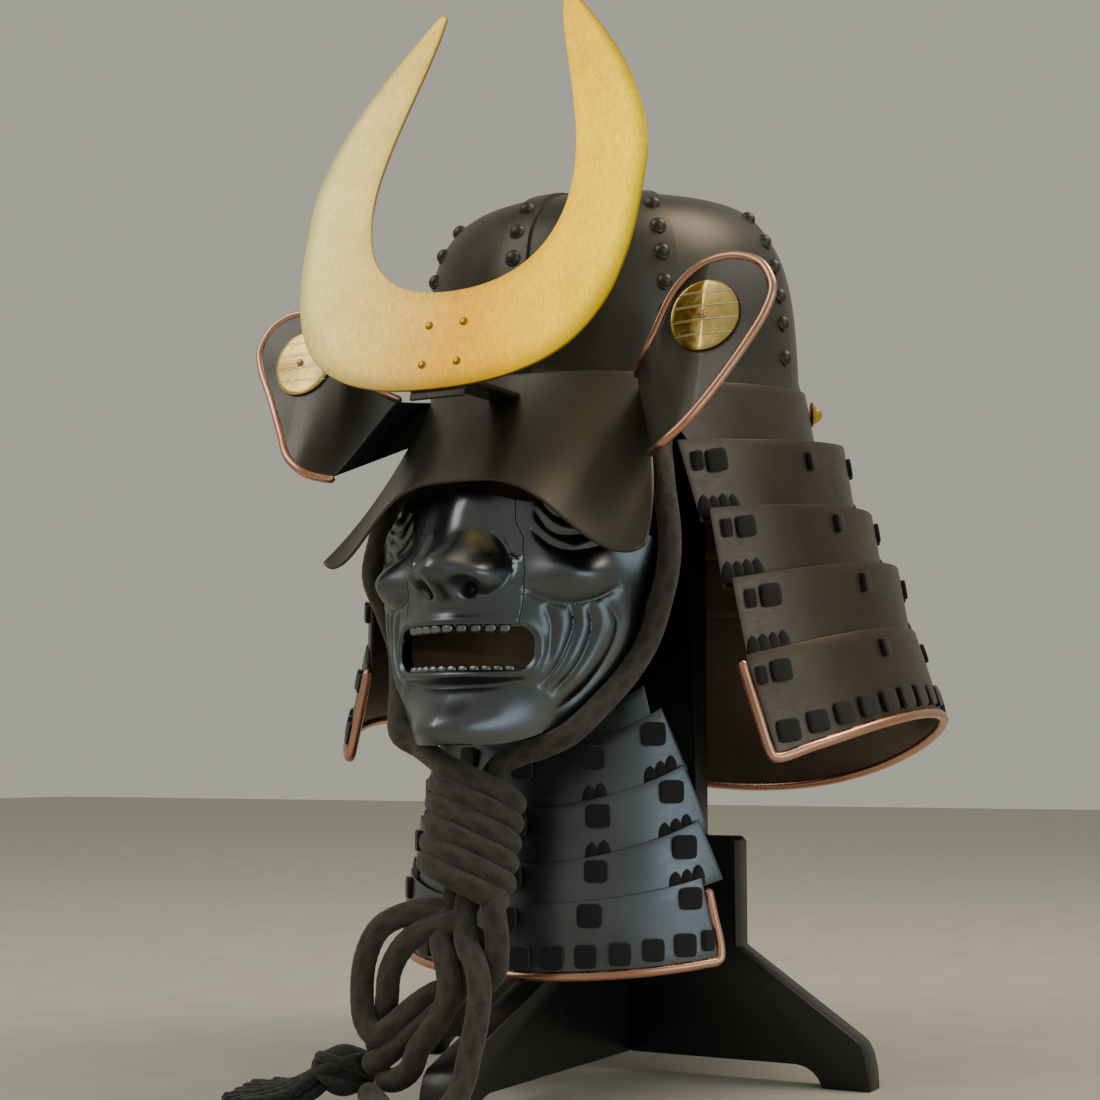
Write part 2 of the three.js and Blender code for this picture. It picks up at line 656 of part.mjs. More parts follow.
// Throat guard
function throatPoint(lame, deg, share, inward) {
  const turn = radians(deg);
  const radius = mix(lame.rFoot, lame.rTop, share) - inward;
  const top = lame.top + lame.riseTop * (deg / lame.endTop) ** 2;
  const foot = lame.foot + lame.riseFoot * (deg / lame.endFoot) ** 2;
  const z = mix(foot, top, share);
  return new THREE.Vector3(radius * Math.sin(turn), throatCentreY - radius * Math.cos(turn), z);
}

function makeThroatLame(lame, index) {
  const last = index === throatLames.length - 1;
  const footShare = last ? 0.075 : 0;
  const endTrim = last ? 3 : 0;
  const surface = (u, v) => {
    const share = mix(footShare, 1, v);
    const end = mix(lame.endFoot, lame.endTop, share) - endTrim;
    return throatPoint(lame, mix(-end, end, u), share, 0);
  };
  return sheet(surface, throatWall, 14, 1);
}

function makeThroatTrim() {
  const lame = throatLames[throatLames.length - 1];
  const near = [];
  for (let deg = 0; deg < lame.endFoot - 4; deg += 8) near.push(throatPoint(lame, deg, 0, throatWall / 2));
  near.push(throatPoint(lame, lame.endFoot - 1.2, 0.01, throatWall / 2));
  for (const share of [0.14, 0.5, 0.86]) {
    near.push(throatPoint(lame, mix(lame.endFoot, lame.endTop, share), share, throatWall / 2));
  }
  const left = near.map((p) => [p.x, p.y, p.z]);
  const points = mirrored(left).reverse().slice(0, -1).concat(left);
  return tube(points, throatTrimRadius, 5, 28);
}

// Chin cord, its wrap, knot and tassel
function makeWrap() {
  const top = new THREE.Vector3(...wrap.top);
  const foot = new THREE.Vector3(...wrap.foot);
  const length = top.distanceTo(foot);
  const profile = [new THREE.Vector2(0, 0)];
  for (let i = 0; i < wrap.turns * 2; i++) {
    const groove = i % 2 === 0 ? wrap.grooveDepth : 0;
    profile.push(new THREE.Vector2(wrap.radius - groove, (length * i) / (wrap.turns * 2)));
  }
  profile.push(new THREE.Vector2(wrap.radius - wrap.grooveDepth, length), new THREE.Vector2(0, length));
  const geometry = new THREE.LatheGeometry(profile, 12);
  const aim = top.clone().sub(foot).normalize();
  geometry.applyQuaternion(new THREE.Quaternion().setFromUnitVectors(new THREE.Vector3(0, 1, 0), aim));
  geometry.translate(foot.x, foot.y, foot.z);
  return sealed(geometry);
}

function makeKnot() {
  const strands = [
    tube(knotOuter, cord.radius, cord.sides, 19),
    tube(knotInner, cord.radius, cord.sides, 9),
    tube(knotFall, cord.radius, cord.sides, 9),
    tube(knotLower, cord.radius, cord.sides, 6),
    tube(knotFallRight, cord.radius, cord.sides, 12),
  ];
  return fuse(strands);
}

function makeTassel() {
  const [headX, headY, headZ] = tassel.head;
  const parts = [new THREE.SphereGeometry(tassel.headRadius, 8, 6).scale(1, 1, 0.95).translate(headX, headY, headZ)];
  for (let i = 0; i < tassel.locks; i++) {
    const share = i / (tassel.locks - 1);
    const turn = radians(tassel.aimDeg + (share - 0.5) * tassel.spreadDeg);
    const reach = tassel.reach * (1 - 0.12 * (i % 2));
    const lift = 4 * (i % 3);
    const points = [0.05, 0.35, 0.7, 1].map((s) => [
      headX + reach * s * Math.cos(turn),
      headY + reach * s * Math.sin(turn),
      mix(headZ, tassel.lockRadius + 0.8 + lift * 0.4, Math.min(s * 1.6, 1)),
    ]);
    parts.push(tube(points, tassel.lockRadius, 5, 3));
  }
  return fuse(parts);
}

// Stand
function boardShape(frontward, rearward) {
  const { columnHalf, columnTop, shoulderHalf, shoulderTop, shoulderFoot, toeZ, archZ, footLength } = board;
  const shape = new THREE.Shape();
  shape.moveTo(-columnHalf, columnTop - 14);
  shape.lineTo(-columnHalf, shoulderTop);
  shape.lineTo(-shoulderHalf + 3, shoulderTop);
  shape.lineTo(-shoulderHalf, shoulderTop - 3);
  shape.lineTo(-shoulderHalf, shoulderFoot);
  shape.lineTo(-frontward + 9, toeZ);
  shape.quadraticCurveTo(-frontward + 0.5, toeZ - 4, -frontward, 0);
  shape.lineTo(-frontward + footLength, 0);
  shape.quadraticCurveTo(-frontward + footLength + 4, archZ - 1, -frontward + footLength + 16, archZ);
  shape.lineTo(rearward - footLength - 16, archZ);
  shape.quadraticCurveTo(rearward - footLength - 4, archZ - 1, rearward - footLength, 0);
  shape.lineTo(rearward, 0);
  shape.quadraticCurveTo(rearward - 0.5, toeZ - 4, rearward - 9, toeZ);
  shape.lineTo(shoulderHalf, shoulderFoot);
  shape.lineTo(shoulderHalf, shoulderTop - 3);
  shape.lineTo(shoulderHalf - 3, shoulderTop);
  shape.lineTo(columnHalf, shoulderTop);
  shape.lineTo(columnHalf, columnTop - 14);
  shape.quadraticCurveTo(columnHalf, columnTop - 0.4, columnHalf - 14, columnTop - 0.4);
  shape.lineTo(-columnHalf + 14, columnTop - 0.4);
  shape.quadraticCurveTo(-columnHalf, columnTop - 0.4, -columnHalf, columnTop - 14);
  return new THREE.ExtrudeGeometry(shape, { depth: board.wall, bevelEnabled: false, curveSegments: 4 });
}

function makeCrossBoard() {
  const plate = boardShape(lateralReach, lateralReach);
  plate.rotateX(Math.PI / 2);
  plate.translate(0, board.wall, 0);
  const tall = board.joinZ + 20;
  const slot = new THREE.BoxGeometry(board.wall + 2 * fitGap, 60, tall);
  slot.translate(0, board.wall / 2, board.joinZ + fitGap - tall / 2);
  return cutAway(plate, slot);
}

function makeLongBoard() {
  const plate = boardShape(frontReach, rearReach);
  plate.rotateX(Math.PI / 2);
  plate.rotateZ(Math.PI / 2);
  plate.translate(-board.wall / 2, board.wall / 2, 0);
  const tall = board.columnTop - board.joinZ + 20;
  const slot = new THREE.BoxGeometry(60, board.wall + 2 * fitGap, tall);
  slot.translate(0, board.wall / 2, board.joinZ + tall / 2);
  return cutAway(plate, slot);
}

function makeHeadPad() {
  const puck = new THREE.CylinderGeometry(headPad.radius, headPad.radius, 60, 20);
  puck.rotateX(Math.PI / 2);
  puck.translate(0, board.wall / 2 - 9, headPad.footZ + 30);
  return keepInside(puck, domeSolid(-bowl.wall - fitGap, 0, 28, 5));
}

// Finishes
const finish = (color, metalness, roughness) => new THREE.MeshStandardMaterial({ color, metalness, roughness });
const finishes = {
  lacquer: finish(0x1d1c19, 0.5, 0.42),
  lame: finish(0x2b2622, 0.7, 0.38),
  steel: finish(0x16191d, 0.85, 0.28),
  throat: finish(0x20262e, 0.8, 0.35),
  brass: finish(0xd9b04a, 0.95, 0.3),
  copper: finish(0xb06a4a, 0.95, 0.35),
  cordage: finish(0x242424, 0, 0.95),
  lacing: finish(0x17171a, 0, 0.95),
  wood: finish(0x101010, 0, 0.45),
};

const kabuto = new THREE.Group();
const helmet = new THREE.Group();
const face = new THREE.Group();
const throat = new THREE.Group();
const tie = new THREE.Group();
const stand = new THREE.Group();
kabuto.position.y = frameShiftY;
kabuto.add(helmet, face, throat, tie, stand);

function place(group, name, geometry, material) {
  const mesh = new THREE.Mesh(geometry, material);
  mesh.name = name;
  group.add(mesh);
}

place(helmet, 'bowl', makeBowl(), finishes.lacquer);
place(helmet, 'crown_ornament', makeCrown(), finishes.brass);
place(helmet, 'visor', sheet(visorPoint, plateWall, 20, 5), finishes.lacquer);
place(helmet, 'crest', makeCrest(), finishes.brass);
place(helmet, 'crest_holder', makeHolder(), finishes.lacquer);

const wingPlate = sheet(wingPoint, plateWall, 10, 5);
const wingTrim = sealed(makeWingTrim());
const wingDisc = makeDisc();
place(helmet, 'wing_left', wingPlate, finishes.lame);
place(helmet, 'wing_right', flipX(wingPlate), finishes.lame);
place(helmet, 'wing_trim_left', wingTrim, finishes.copper);
place(helmet, 'wing_trim_right', flipX(wingTrim), finishes.copper);
place(helmet, 'wing_disc_left', wingDisc, finishes.brass);
place(helmet, 'wing_disc_right', flipX(wingDisc), finishes.brass);

for (let k = 0; k < guardLames.length; k++) {
  place(helmet, `neck_lame_${k + 1}`, makeLame(k), finishes.lame);
}
for (let k = 0; k < 3; k++) {
  laceTurns.forEach((turn, i) => place(helmet, `lace_${k + 1}_${i + 1}`, makeLace(k, turn), finishes.lacing));
}
place(helmet, 'neck_trim', sealed(makeGuardTrim()), finishes.copper);
place(helmet, 'gilt_stud_left', makeStud(), finishes.brass);
place(helmet, 'gilt_stud_right', flipX(makeStud()), finishes.brass);

place(face, 'mask', cutAway(openShell, nosePrism(fitGap)), finishes.steel);
place(face, 'mask_nose', makeNosePiece(), finishes.steel);
place(face, 'teeth_upper', makeTeeth(249.5, 256.8), finishes.steel);
place(face, 'teeth_lower', makeTeeth(231, 239.5), finishes.steel);

throatLames.forEach((lame, i) => place(throat, lame.name, makeThroatLame(lame, i), finishes.throat));
place(throat, 'throat_trim', sealed(makeThroatTrim()), finishes.copper);

const chinTube = sealed(tube(chinRoute, cord.radius, cord.sides, 18));
place(tie, 'chin_cord_left', chinTube, finishes.cordage);
place(tie, 'chin_cord_right', flipX(chinTube), finishes.cordage);
place(tie, 'cord_wrap', makeWrap(), finishes.cordage);
place(tie, 'cord_knot', makeKnot(), finishes.cordage);
place(tie, 'tassel', makeTassel(), finishes.cordage);

place(stand, 'stand_cross_board', makeCrossBoard(), finishes.wood);
place(stand, 'stand_long_board', makeLongBoard(), finishes.wood);
place(stand, 'head_pad', makeHeadPad(), finishes.wood);

export default kabuto;
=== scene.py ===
# Looks of the kabuto: every CAD node is dressed by a finer piece in the same place.
# Shapes are worked out in millimetres in the part's own axes and moved into the frame by toFrame().
import math

import bmesh
import bpy
import numpy as np
from mathutils import Matrix, Vector


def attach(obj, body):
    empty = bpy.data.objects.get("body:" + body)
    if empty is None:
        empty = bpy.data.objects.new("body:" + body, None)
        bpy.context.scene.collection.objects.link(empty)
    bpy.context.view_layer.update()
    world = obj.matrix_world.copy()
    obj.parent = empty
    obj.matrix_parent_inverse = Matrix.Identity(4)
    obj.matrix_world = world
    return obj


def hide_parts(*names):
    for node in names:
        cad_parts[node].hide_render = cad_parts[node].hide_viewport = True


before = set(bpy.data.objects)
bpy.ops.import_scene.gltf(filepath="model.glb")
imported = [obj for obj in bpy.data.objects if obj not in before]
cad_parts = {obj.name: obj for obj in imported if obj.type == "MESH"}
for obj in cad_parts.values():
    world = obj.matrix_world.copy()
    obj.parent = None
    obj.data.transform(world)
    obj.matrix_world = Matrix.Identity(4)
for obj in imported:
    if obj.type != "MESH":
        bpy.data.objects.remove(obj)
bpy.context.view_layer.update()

scene = bpy.context.scene
rad = math.radians
partShift = np.array([0.0, -7.3, 0.0])

# Camera of the photograph
view = {"place": (0.5341, -1.0726, 0.191), "turn": 28.6, "rise": 6.22, "lens": 62.18}
camera = bpy.data.objects.new("camera", bpy.data.cameras.new("camera"))
scene.collection.objects.link(camera)
camera.location = view["place"]
camera.data.lens = view["lens"]
camera.data.sensor_width = 36
aim = Vector((
    -math.sin(rad(view["turn"])) * math.cos(rad(view["rise"])),
    math.cos(rad(view["turn"])) * math.cos(rad(view["rise"])),
    math.sin(rad(view["rise"])),
))
camera.rotation_euler = aim.to_track_quat("-Z", "Y").to_euler()
scene.camera = camera


# Materials
def colour(text):
    parts = [int(text[i : i + 2], 16) / 255 for i in (0, 2, 4)]
    made = [c / 12.92 if c <= 0.04045 else ((c + 0.055) / 1.055) ** 2.4 for c in parts]
    return (*made, 1.0)


def addNode(tree, kind, sockets=None, **settings):
    made = tree.nodes.new(kind)
    for name, value in settings.items():
        setattr(made, name, value)
    for name, value in (sockets or {}).items():
        if isinstance(value, bpy.types.NodeSocket):
            tree.links.new(value, made.inputs[name])
        else:
            made.inputs[name].default_value = value
    return made


def newMaterial(name):
    made = bpy.data.materials.new(name)
    made.use_nodes = True
    made.node_tree.nodes.clear()
    tree = made.node_tree
    shader = addNode(tree, "ShaderNodeBsdfPrincipled")
    out = addNode(tree, "ShaderNodeOutputMaterial")
    tree.links.new(shader.outputs[0], out.inputs[0])
    coords = addNode(tree, "ShaderNodeTexCoord").outputs["Object"]
    return made, tree, shader, coords


def mathOn(tree, operation, *values):
    return addNode(tree, "ShaderNodeMath", dict(enumerate(values)), operation=operation).outputs[0]


def noiseOn(tree, coords, sizeMm, detail=4, stretch=(1, 1, 1)):
    mapping = addNode(tree, "ShaderNodeMapping", {"Vector": coords, "Scale": stretch})
    inputs = {"Vector": mapping.outputs[0], "Scale": 1000 / sizeMm, "Detail": detail}
    return addNode(tree, "ShaderNodeTexNoise", inputs).outputs["Fac"]


def rampOn(tree, value, low, high, start=0.3, end=0.7):
    ramp = addNode(tree, "ShaderNodeValToRGB", {"Fac": value})
    ramp.color_ramp.elements[0].position = start
    ramp.color_ramp.elements[1].position = end
    ramp.color_ramp.elements[0].color = low
    ramp.color_ramp.elements[1].color = high
    return ramp.outputs[0]


def rangeOn(tree, value, low, high, start=0.3, end=0.7):
    inputs = {"Value": value, "From Min": start, "From Max": end, "To Min": low, "To Max": high}
    return addNode(tree, "ShaderNodeMapRange", inputs).outputs[0]


def bumpOn(tree, height, depthMm):
    inputs = {"Height": height, "Distance": depthMm / 1000, "Strength": 1.0}
    return addNode(tree, "ShaderNodeBump", inputs).outputs[0]


# Painted or bare metal with a fine grain: two shades, a roughness range and a shallow bump
def metalFinish(name, dark, light, metallic, roughness, grainMm, depthMm, stretch=(1, 1, 1)):
    made, tree, shader, coords = newMaterial(name)
    broad = noiseOn(tree, coords, 60, 3)
    grain = noiseOn(tree, coords, grainMm, 5, stretch)
    tree.links.new(rampOn(tree, broad, colour(dark), colour(light)), shader.inputs["Base Color"])
    tree.links.new(rangeOn(tree, grain, *roughness), shader.inputs["Roughness"])
    tree.links.new(bumpOn(tree, grain, depthMm), shader.inputs["Normal"])
    shader.inputs["Metallic"].default_value = metallic
    return made


# Satin black paint on steel, as on the bowl and the visor
bowlPaint = metalFinish("satinBlackPaintedSteel", "45443e", "524f48", 0.8, (0.36, 0.46), 1.2, 0.012)
# Bronze-black satin iron of the neck guard, faintly drawn along the lames
lameIron = metalFinish("bronzeBlackIron", "51483f", "62574d", 1.0, (0.36, 0.46), 1.6, 0.015, (0.25, 0.25, 1))
# Grey satin iron of the side wings
wingIron = metalFinish("greySatinIron", "4c4a48", "5c5a57", 1.0, (0.34, 0.44), 1.4, 0.012)
# Polished gunmetal of the mask
maskIron = metalFinish("polishedGunmetal", "575c61", "6c7176", 1.0, (0.27, 0.35), 2.0, 0.01)
# Blue-grey iron of the throat guard
throatIron = metalFinish("bluedIron", "585c61", "6b7076", 1.0, (0.32, 0.42), 1.6, 0.012, (0.3, 0.3, 1))
# Brighter polished steel of the teeth
teethIron = metalFinish("polishedToothSteel", "75797c", "8d9194", 1.0, (0.28, 0.36), 2.0, 0.01)
# Rose copper tube of the rims
copperTube = metalFinish("roseCopper", "bd8770", "d8a78e", 1.0, (0.24, 0.36), 3.0, 0.01)
# Small gilt fittings
giltBrass = metalFinish("giltBrass", "c79a3a", "e3bf5c", 1.0, (0.22, 0.34), 3.0, 0.01)
# Black sprayed wood of the stand
standWood = metalFinish("blackPaintedWood", "0e0e0f", "171718", 0.0, (0.3, 0.42), 2.5, 0.02, (1, 1, 0.2))


# Satin brass plate of the crest with painted light: a ramp across it, from ivory-gold on one arm to deep
# yellow on the other, stands in for how the light falls on the two arms; the cloudy mottle is the brass's
# own tone
def crestFinish():
    made, tree, shader, coords = newMaterial("satinBrassPlate")
    # Painted light: the base colour runs from ivory-gold at -X to deep yellow at +X, in place of the light
    # on each arm
    across = addNode(tree, "ShaderNodeSeparateXYZ", {"Vector": coords}).outputs["X"]
    share = rangeOn(tree, across, 0.0, 1.0, -0.11, 0.11)
    tint = addNode(tree, "ShaderNodeValToRGB", {"Fac": share})
    paintedLightStops = [(0.0, "c2b97c"), (0.3, "c0a354"), (0.52, "c08c20"), (0.75, "d8aa00"), (1.0, "e2c400")]
    while len(tint.color_ramp.elements) < len(paintedLightStops):
        tint.color_ramp.elements.new(0.5)
    for element, (place, text) in zip(tint.color_ramp.elements, paintedLightStops):
        element.position = place
        element.color = colour(text)
    cloud = noiseOn(tree, coords, 34, 4)
    mottle = rampOn(tree, cloud, (0.9, 0.88, 0.78, 1), (1, 1, 1, 1), 0.35, 0.6)
    mixed = addNode(tree, "ShaderNodeMix", {"Factor": 1.0}, data_type="RGBA", blend_type="MULTIPLY")
    tree.links.new(tint.outputs[0], mixed.inputs[6])
    tree.links.new(mottle, mixed.inputs[7])
    grain = noiseOn(tree, coords, 1.5, 5, (1, 1, 0.15))
    tree.links.new(mixed.outputs[2], shader.inputs["Base Color"])
    tree.links.new(rangeOn(tree, grain, 0.3, 0.42), shader.inputs["Roughness"])
    tree.links.new(bumpOn(tree, grain, 0.01), shader.inputs["Normal"])
    shader.inputs["Metallic"].default_value = 1.0
    return made


# Polished brass of the discs, crossed by engraved lines at the given heights above the disc's centre
def discFinish(centreZ, lines, lineMm):
    made, tree, shader, coords = newMaterial("engravedBrass")
    height = addNode(tree, "ShaderNodeSeparateXYZ", {"Vector": coords}).outputs["Z"]
    groove = None
    for line in lines:
        away = mathOn(tree, "ABSOLUTE", mathOn(tree, "SUBTRACT", height, (centreZ + line) / 1000))
        cut = rangeOn(tree, away, 1.0, 0.0, lineMm * 0.0002, lineMm * 0.0006)
        groove = cut if groove is None else mathOn(tree, "MAXIMUM", groove, cut)
    tint = rampOn(tree, groove, colour("d9bd72"), colour("f1e6c0"), 0, 1)
    tree.links.new(tint, shader.inputs["Base Color"])
    depth = mathOn(tree, "MULTIPLY", groove, -1.0)
    tree.links.new(bumpOn(tree, depth, 0.5), shader.inputs["Normal"])
    grain = noiseOn(tree, coords, 4, 4)
    tree.links.new(rangeOn(tree, grain, 0.16, 0.3), shader.inputs["Roughness"])
    shader.inputs["Metallic"].default_value = 1.0
    return made


# Soft braided cotton cord, its strands crossing by the UV map: u round the cord, v along it
def cordFinish(name, dark, light, strands, pitchMm, depthMm):
    made, tree, shader, coords = newMaterial(name)
    route = addNode(tree, "ShaderNodeUVMap", uv_map="along").outputs[0]
    split = addNode(tree, "ShaderNodeSeparateXYZ", {"Vector": route})
    waves = []
    for lean in (1, -1):
        around = mathOn(tree, "MULTIPLY", split.outputs[0], strands * math.tau)
        along = mathOn(tree, "MULTIPLY", split.outputs[1], lean * math.tau / pitchMm)
        waves.append(mathOn(tree, "SINE", mathOn(tree, "ADD", around, along)))
    braid = mathOn(tree, "MAXIMUM", *waves)
    fuzz = noiseOn(tree, coords, 1.4, 6)
    both = mathOn(tree, "MULTIPLY_ADD", braid, 0.2, fuzz)
    tree.links.new(rampOn(tree, both, colour(dark), colour(light), 0.2, 1.0), shader.inputs["Base Color"])
    tree.links.new(bumpOn(tree, both, depthMm), shader.inputs["Normal"])
    shader.inputs["Roughness"].default_value = 0.95
    shader.inputs["Sheen Weight"].default_value = 0.45
    shader.inputs["Sheen Roughness"].default_value = 0.5
    shader.inputs["Sheen Tint"].default_value = colour("9a9a98")
    return made


# Lacing, felt or a plain ground, with a fine fibre bump
def clothFinish(name, dark, light, fibreMm, depthMm, sheen=0.2):
    made, tree, shader, coords = newMaterial(name)
    fibre = noiseOn(tree, coords, fibreMm, 6)
    tree.links.new(rampOn(tree, fibre, colour(dark), colour(light)), shader.inputs["Base Color"])
    tree.links.new(bumpOn(tree, fibre, depthMm), shader.inputs["Normal"])
    shader.inputs["Roughness"].default_value = 0.9
    shader.inputs["Sheen Weight"].default_value = sheen
    return made


crestBrass = crestFinish()
discBrass = discFinish(425, (12.8, 5.2, -2.6, -10.6), 1.1)
braidedCord = cordFinish("greyBlackBraid", "2b2825", "4a4640", 4, 22, 0.4)
tasselYarn = cordFinish("tasselYarn", "121213", "343334", 4, 7, 0.5)
lacingBraid = clothFinish("blackLacing", "0f0f11", "1d1d20", 0.9, 0.15)
padFelt = clothFinish("blackFelt", "101011", "1e1e1f", 1.5, 0.3)


# Meshes
def toFrame(points):
    return (np.asarray(points, float) + partShift) / 1000


def join3(x, y, z):
    return np.stack(np.broadcast_arrays(x, y, z), -1).astype(float)


def unit(vectors):
    return vectors / np.maximum(np.linalg.norm(vectors, axis=-1, keepdims=True), 1e-9)


def mix(a, b, share):
    return a + (b - a) * share


def smoothStep(x, low, high):
    t = np.clip((x - low) / (high - low), 0, 1)
    return t * t * (3 - 2 * t)


def splineAt(points, share):
    points = np.asarray(points, float)
    last = len(points) - 1
    t = np.clip(share, 0, 1) * last
    i = np.minimum(t.astype(int), last - 1)
    w = t - i
    if points.ndim > 1:
        w = w[..., None]
    a, b = points[np.maximum(i - 1, 0)], points[i]
    c, d = points[i + 1], points[np.minimum(i + 2, last)]
    return 0.5 * (2 * b + (c - a) * w + (2 * a - 5 * b + 4 * c - d) * w**2 + (3 * b - a - 3 * c + d) * w**3)


def gridFaces(rows, columns, start=0, closed=False, flip=False):
    i, j = np.meshgrid(np.arange(rows - 1), np.arange(columns if closed else columns - 1), indexing="ij")
    k = (j + 1) % columns
    quads = np.stack([i * columns + j, (i + 1) * columns + j, (i + 1) * columns + k, i * columns + k], -1)
    quads = quads.reshape(-1, 4) + start
    return quads[:, ::-1] if flip else quads


# Faces of a thin shell: its outer grid, its inner grid and the walls round its rim
def shellFaces(rows, columns):
    count = rows * columns
    index = np.arange(count).reshape(rows, columns)
    rim = np.concatenate([index[:-1, 0], index[-1, :-1], index[:0:-1, -1], index[0, :0:-1]])
    after = np.roll(rim, -1)
    walls = np.stack([rim, after, after + count, rim + count], -1)
    return np.concatenate([gridFaces(rows, columns), gridFaces(rows, columns, count, flip=True), walls])


def addPiece(name, points, faces, material, sharpDeg=38, bevelMm=0.0, bevelSteps=2, uvs=None):
    mesh = bpy.data.meshes.new(name)
    mesh.from_pydata(toFrame(points).tolist(), [], [list(map(int, f)) for f in faces])
    if uvs is not None:
        layer = mesh.uv_layers.new(name="along")
        layer.data.foreach_set("uv", np.asarray(uvs, np.float32).ravel())
    return settle(name, mesh, material, sharpDeg, bevelMm, bevelSteps)


def settle(name, mesh, material, sharpDeg=38, bevelMm=0.0, bevelSteps=2):
    work = bmesh.new()
    work.from_mesh(mesh)
    bmesh.ops.remove_doubles(work, verts=work.verts, dist=2e-6)
    bmesh.ops.dissolve_degenerate(work, edges=work.edges, dist=1e-7)
    bmesh.ops.recalc_face_normals(work, faces=work.faces)
    work.to_mesh(mesh)
    work.free()
    piece = bpy.data.objects.new(name, mesh)
    scene.collection.objects.link(piece)
    if bevelMm:
        bevel = piece.modifiers.new("edge", "BEVEL")
        bevel.width = bevelMm / 1000
        bevel.segments = bevelSteps
        bevel.limit_method = "ANGLE"
        bevel.angle_limit = rad(45)
        bevel.harden_normals = False
        bake(piece)
    piece.data.materials.clear()
    piece.data.materials.append(material)
    piece.data.shade_smooth()
    piece.data.set_sharp_from_angle(angle=rad(sharpDeg))
    return piece


def bake(piece):
    graph = bpy.context.evaluated_depsgraph_get()
    baked = bpy.data.meshes.new_from_object(piece.evaluated_get(graph))
    piece.modifiers.clear()
    old = piece.data
    piece.data = baked
    baked.name = piece.name
    bpy.data.meshes.remove(old)


def dress(piece, slot, *nodes):
    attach(piece, "root")
    if nodes:
        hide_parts(*nodes)
    return piece


# A closed sheet: surface(u, v) is its outer face, and its inner face lies one wall behind it
def sheetParts(surface, wall, across, up):
    u, v = np.meshgrid(across, up, indexing="ij")
    step = 0.002
    outer = surface(u, v)
    alongU = surface(np.minimum(u + step, 1), v) - surface(np.maximum(u - step, 0), v)
    alongV = surface(u, np.minimum(v + step, 1)) - surface(u, np.maximum(v - step, 0))
    inner = outer - unit(np.cross(alongU, alongV)) * wall
    return np.concatenate([outer.reshape(-1, 3), inner.reshape(-1, 3)]), shellFaces(*u.shape)


def sheetPiece(name, surface, wall, across, up, material, bevelMm=0.45, flipX=False, sharpDeg=38):
    across = np.linspace(0, 1, across + 1) if np.isscalar(across) else across
    up = np.linspace(0, 1, up + 1) if np.isscalar(up) else up
    points, faces = sheetParts(surface, wall, across, up)
    if flipX:
        points = points * (-1, 1, 1)
    return addPiece(name, points, faces, material, sharpDeg, bevelMm)


# A turned shape about +Z: profile rows are radius and height
def latheParts(profile, segments, wave=None):
    profile = np.asarray(profile, float)
    turn = np.linspace(0, math.tau, segments, endpoint=False)
    radius = profile[:, :1] * (1 if wave is None else wave(turn)[None, :])
    points = join3(radius * np.cos(turn), radius * np.sin(turn), profile[:, 1:2] + 0 * turn)
    return points.reshape(-1, 3), gridFaces(len(profile), segments, closed=True)


def routeThrough(points, stepMm):
    points = np.asarray(points, float)
    ends = np.array([2 * points[0] - points[1], 2 * points[-1] - points[-2]])
    knots = np.concatenate([ends[:1], points, ends[1:]])
    gaps = np.linalg.norm(np.diff(knots, axis=0), axis=1) ** 0.5
    times = np.concatenate([[0], np.cumsum(gaps)])
    dense = []
    for i in range(1, len(knots) - 2):
        t = np.linspace(times[i], times[i + 1], 24, endpoint=False)[:, None]
        (p0, p1, p2, p3), (t0, t1, t2, t3) = knots[i - 1 : i + 3], times[i - 1 : i + 3]
        a1 = (t1 - t) / (t1 - t0) * p0 + (t - t0) / (t1 - t0) * p1
        a2 = (t2 - t) / (t2 - t1) * p1 + (t - t1) / (t2 - t1) * p2
        a3 = (t3 - t) / (t3 - t2) * p2 + (t - t2) / (t3 - t2) * p3
        b1 = (t2 - t) / (t2 - t0) * a1 + (t - t0) / (t2 - t0) * a2
        b2 = (t3 - t) / (t3 - t1) * a2 + (t - t1) / (t3 - t1) * a3
        dense.append((t2 - t) / (t2 - t1) * b1 + (t - t1) / (t2 - t1) * b2)
    dense = np.concatenate([*dense, knots[-2:-1]])
    return evenly(dense, stepMm)


def evenly(line, stepMm):
    along = np.concatenate([[0], np.cumsum(np.linalg.norm(np.diff(line, axis=0), axis=1))])
    at = np.linspace(0, along[-1], max(int(along[-1] / stepMm), 3) + 1)
    return np.stack([np.interp(at, along, line[:, k]) for k in range(3)], -1)


# A tube with rounded ends along a dense line; relief(around, along) scales its radius
def tubeParts(line, radius, sides, relief=None):
    count = len(line)
    ahead = unit(np.gradient(line, axis=0))
    side = np.cross(ahead[0], (0, 0, 1) if abs(ahead[0][2]) < 0.9 else (1, 0, 0))
    sidesWay = []
    for tangent in ahead:
        side = side - tangent * np.dot(side, tangent)
        side = side / np.linalg.norm(side)
        sidesWay.append(side)
    sidesWay = np.array(sidesWay)
    across = np.cross(ahead, sidesWay)
    along = np.concatenate([[0], np.cumsum(np.linalg.norm(np.diff(line, axis=0), axis=1))])
    turn = np.linspace(0, math.tau, sides, endpoint=False)
    radii = np.broadcast_to(np.asarray(radius, float), (count,))[:, None] + 0 * turn
    if relief is not None:
        radii = radii * relief(turn[None, :] / math.tau, along[:, None])
    reach = np.minimum(along, along[-1] - along)[:, None] / np.maximum(radii, 1e-6)
    radii = radii * np.sqrt(np.clip(1 - (1 - np.clip(reach, 0.02, 1)) ** 2, 0, 1))
    ring = sidesWay[:, None, :] * np.cos(turn)[:, None] + across[:, None, :] * np.sin(turn)[:, None]
    points = (line[:, None, :] + ring * radii[..., None]).reshape(-1, 3)
    faces = gridFaces(count, sides, closed=True)
    i, j = np.meshgrid(np.arange(count - 1), np.arange(sides), indexing="ij")
    around = np.stack([j, j, j + 1, j + 1], -1).reshape(-1, 4) / sides
    length = along[np.stack([i, i + 1, i + 1, i], -1).reshape(-1, 4)]
    uvs = np.stack([around, length], -1)
    ends = [list(range(sides))[::-1], list(range((count - 1) * sides, count * sides))]
    return points, faces, uvs, ends


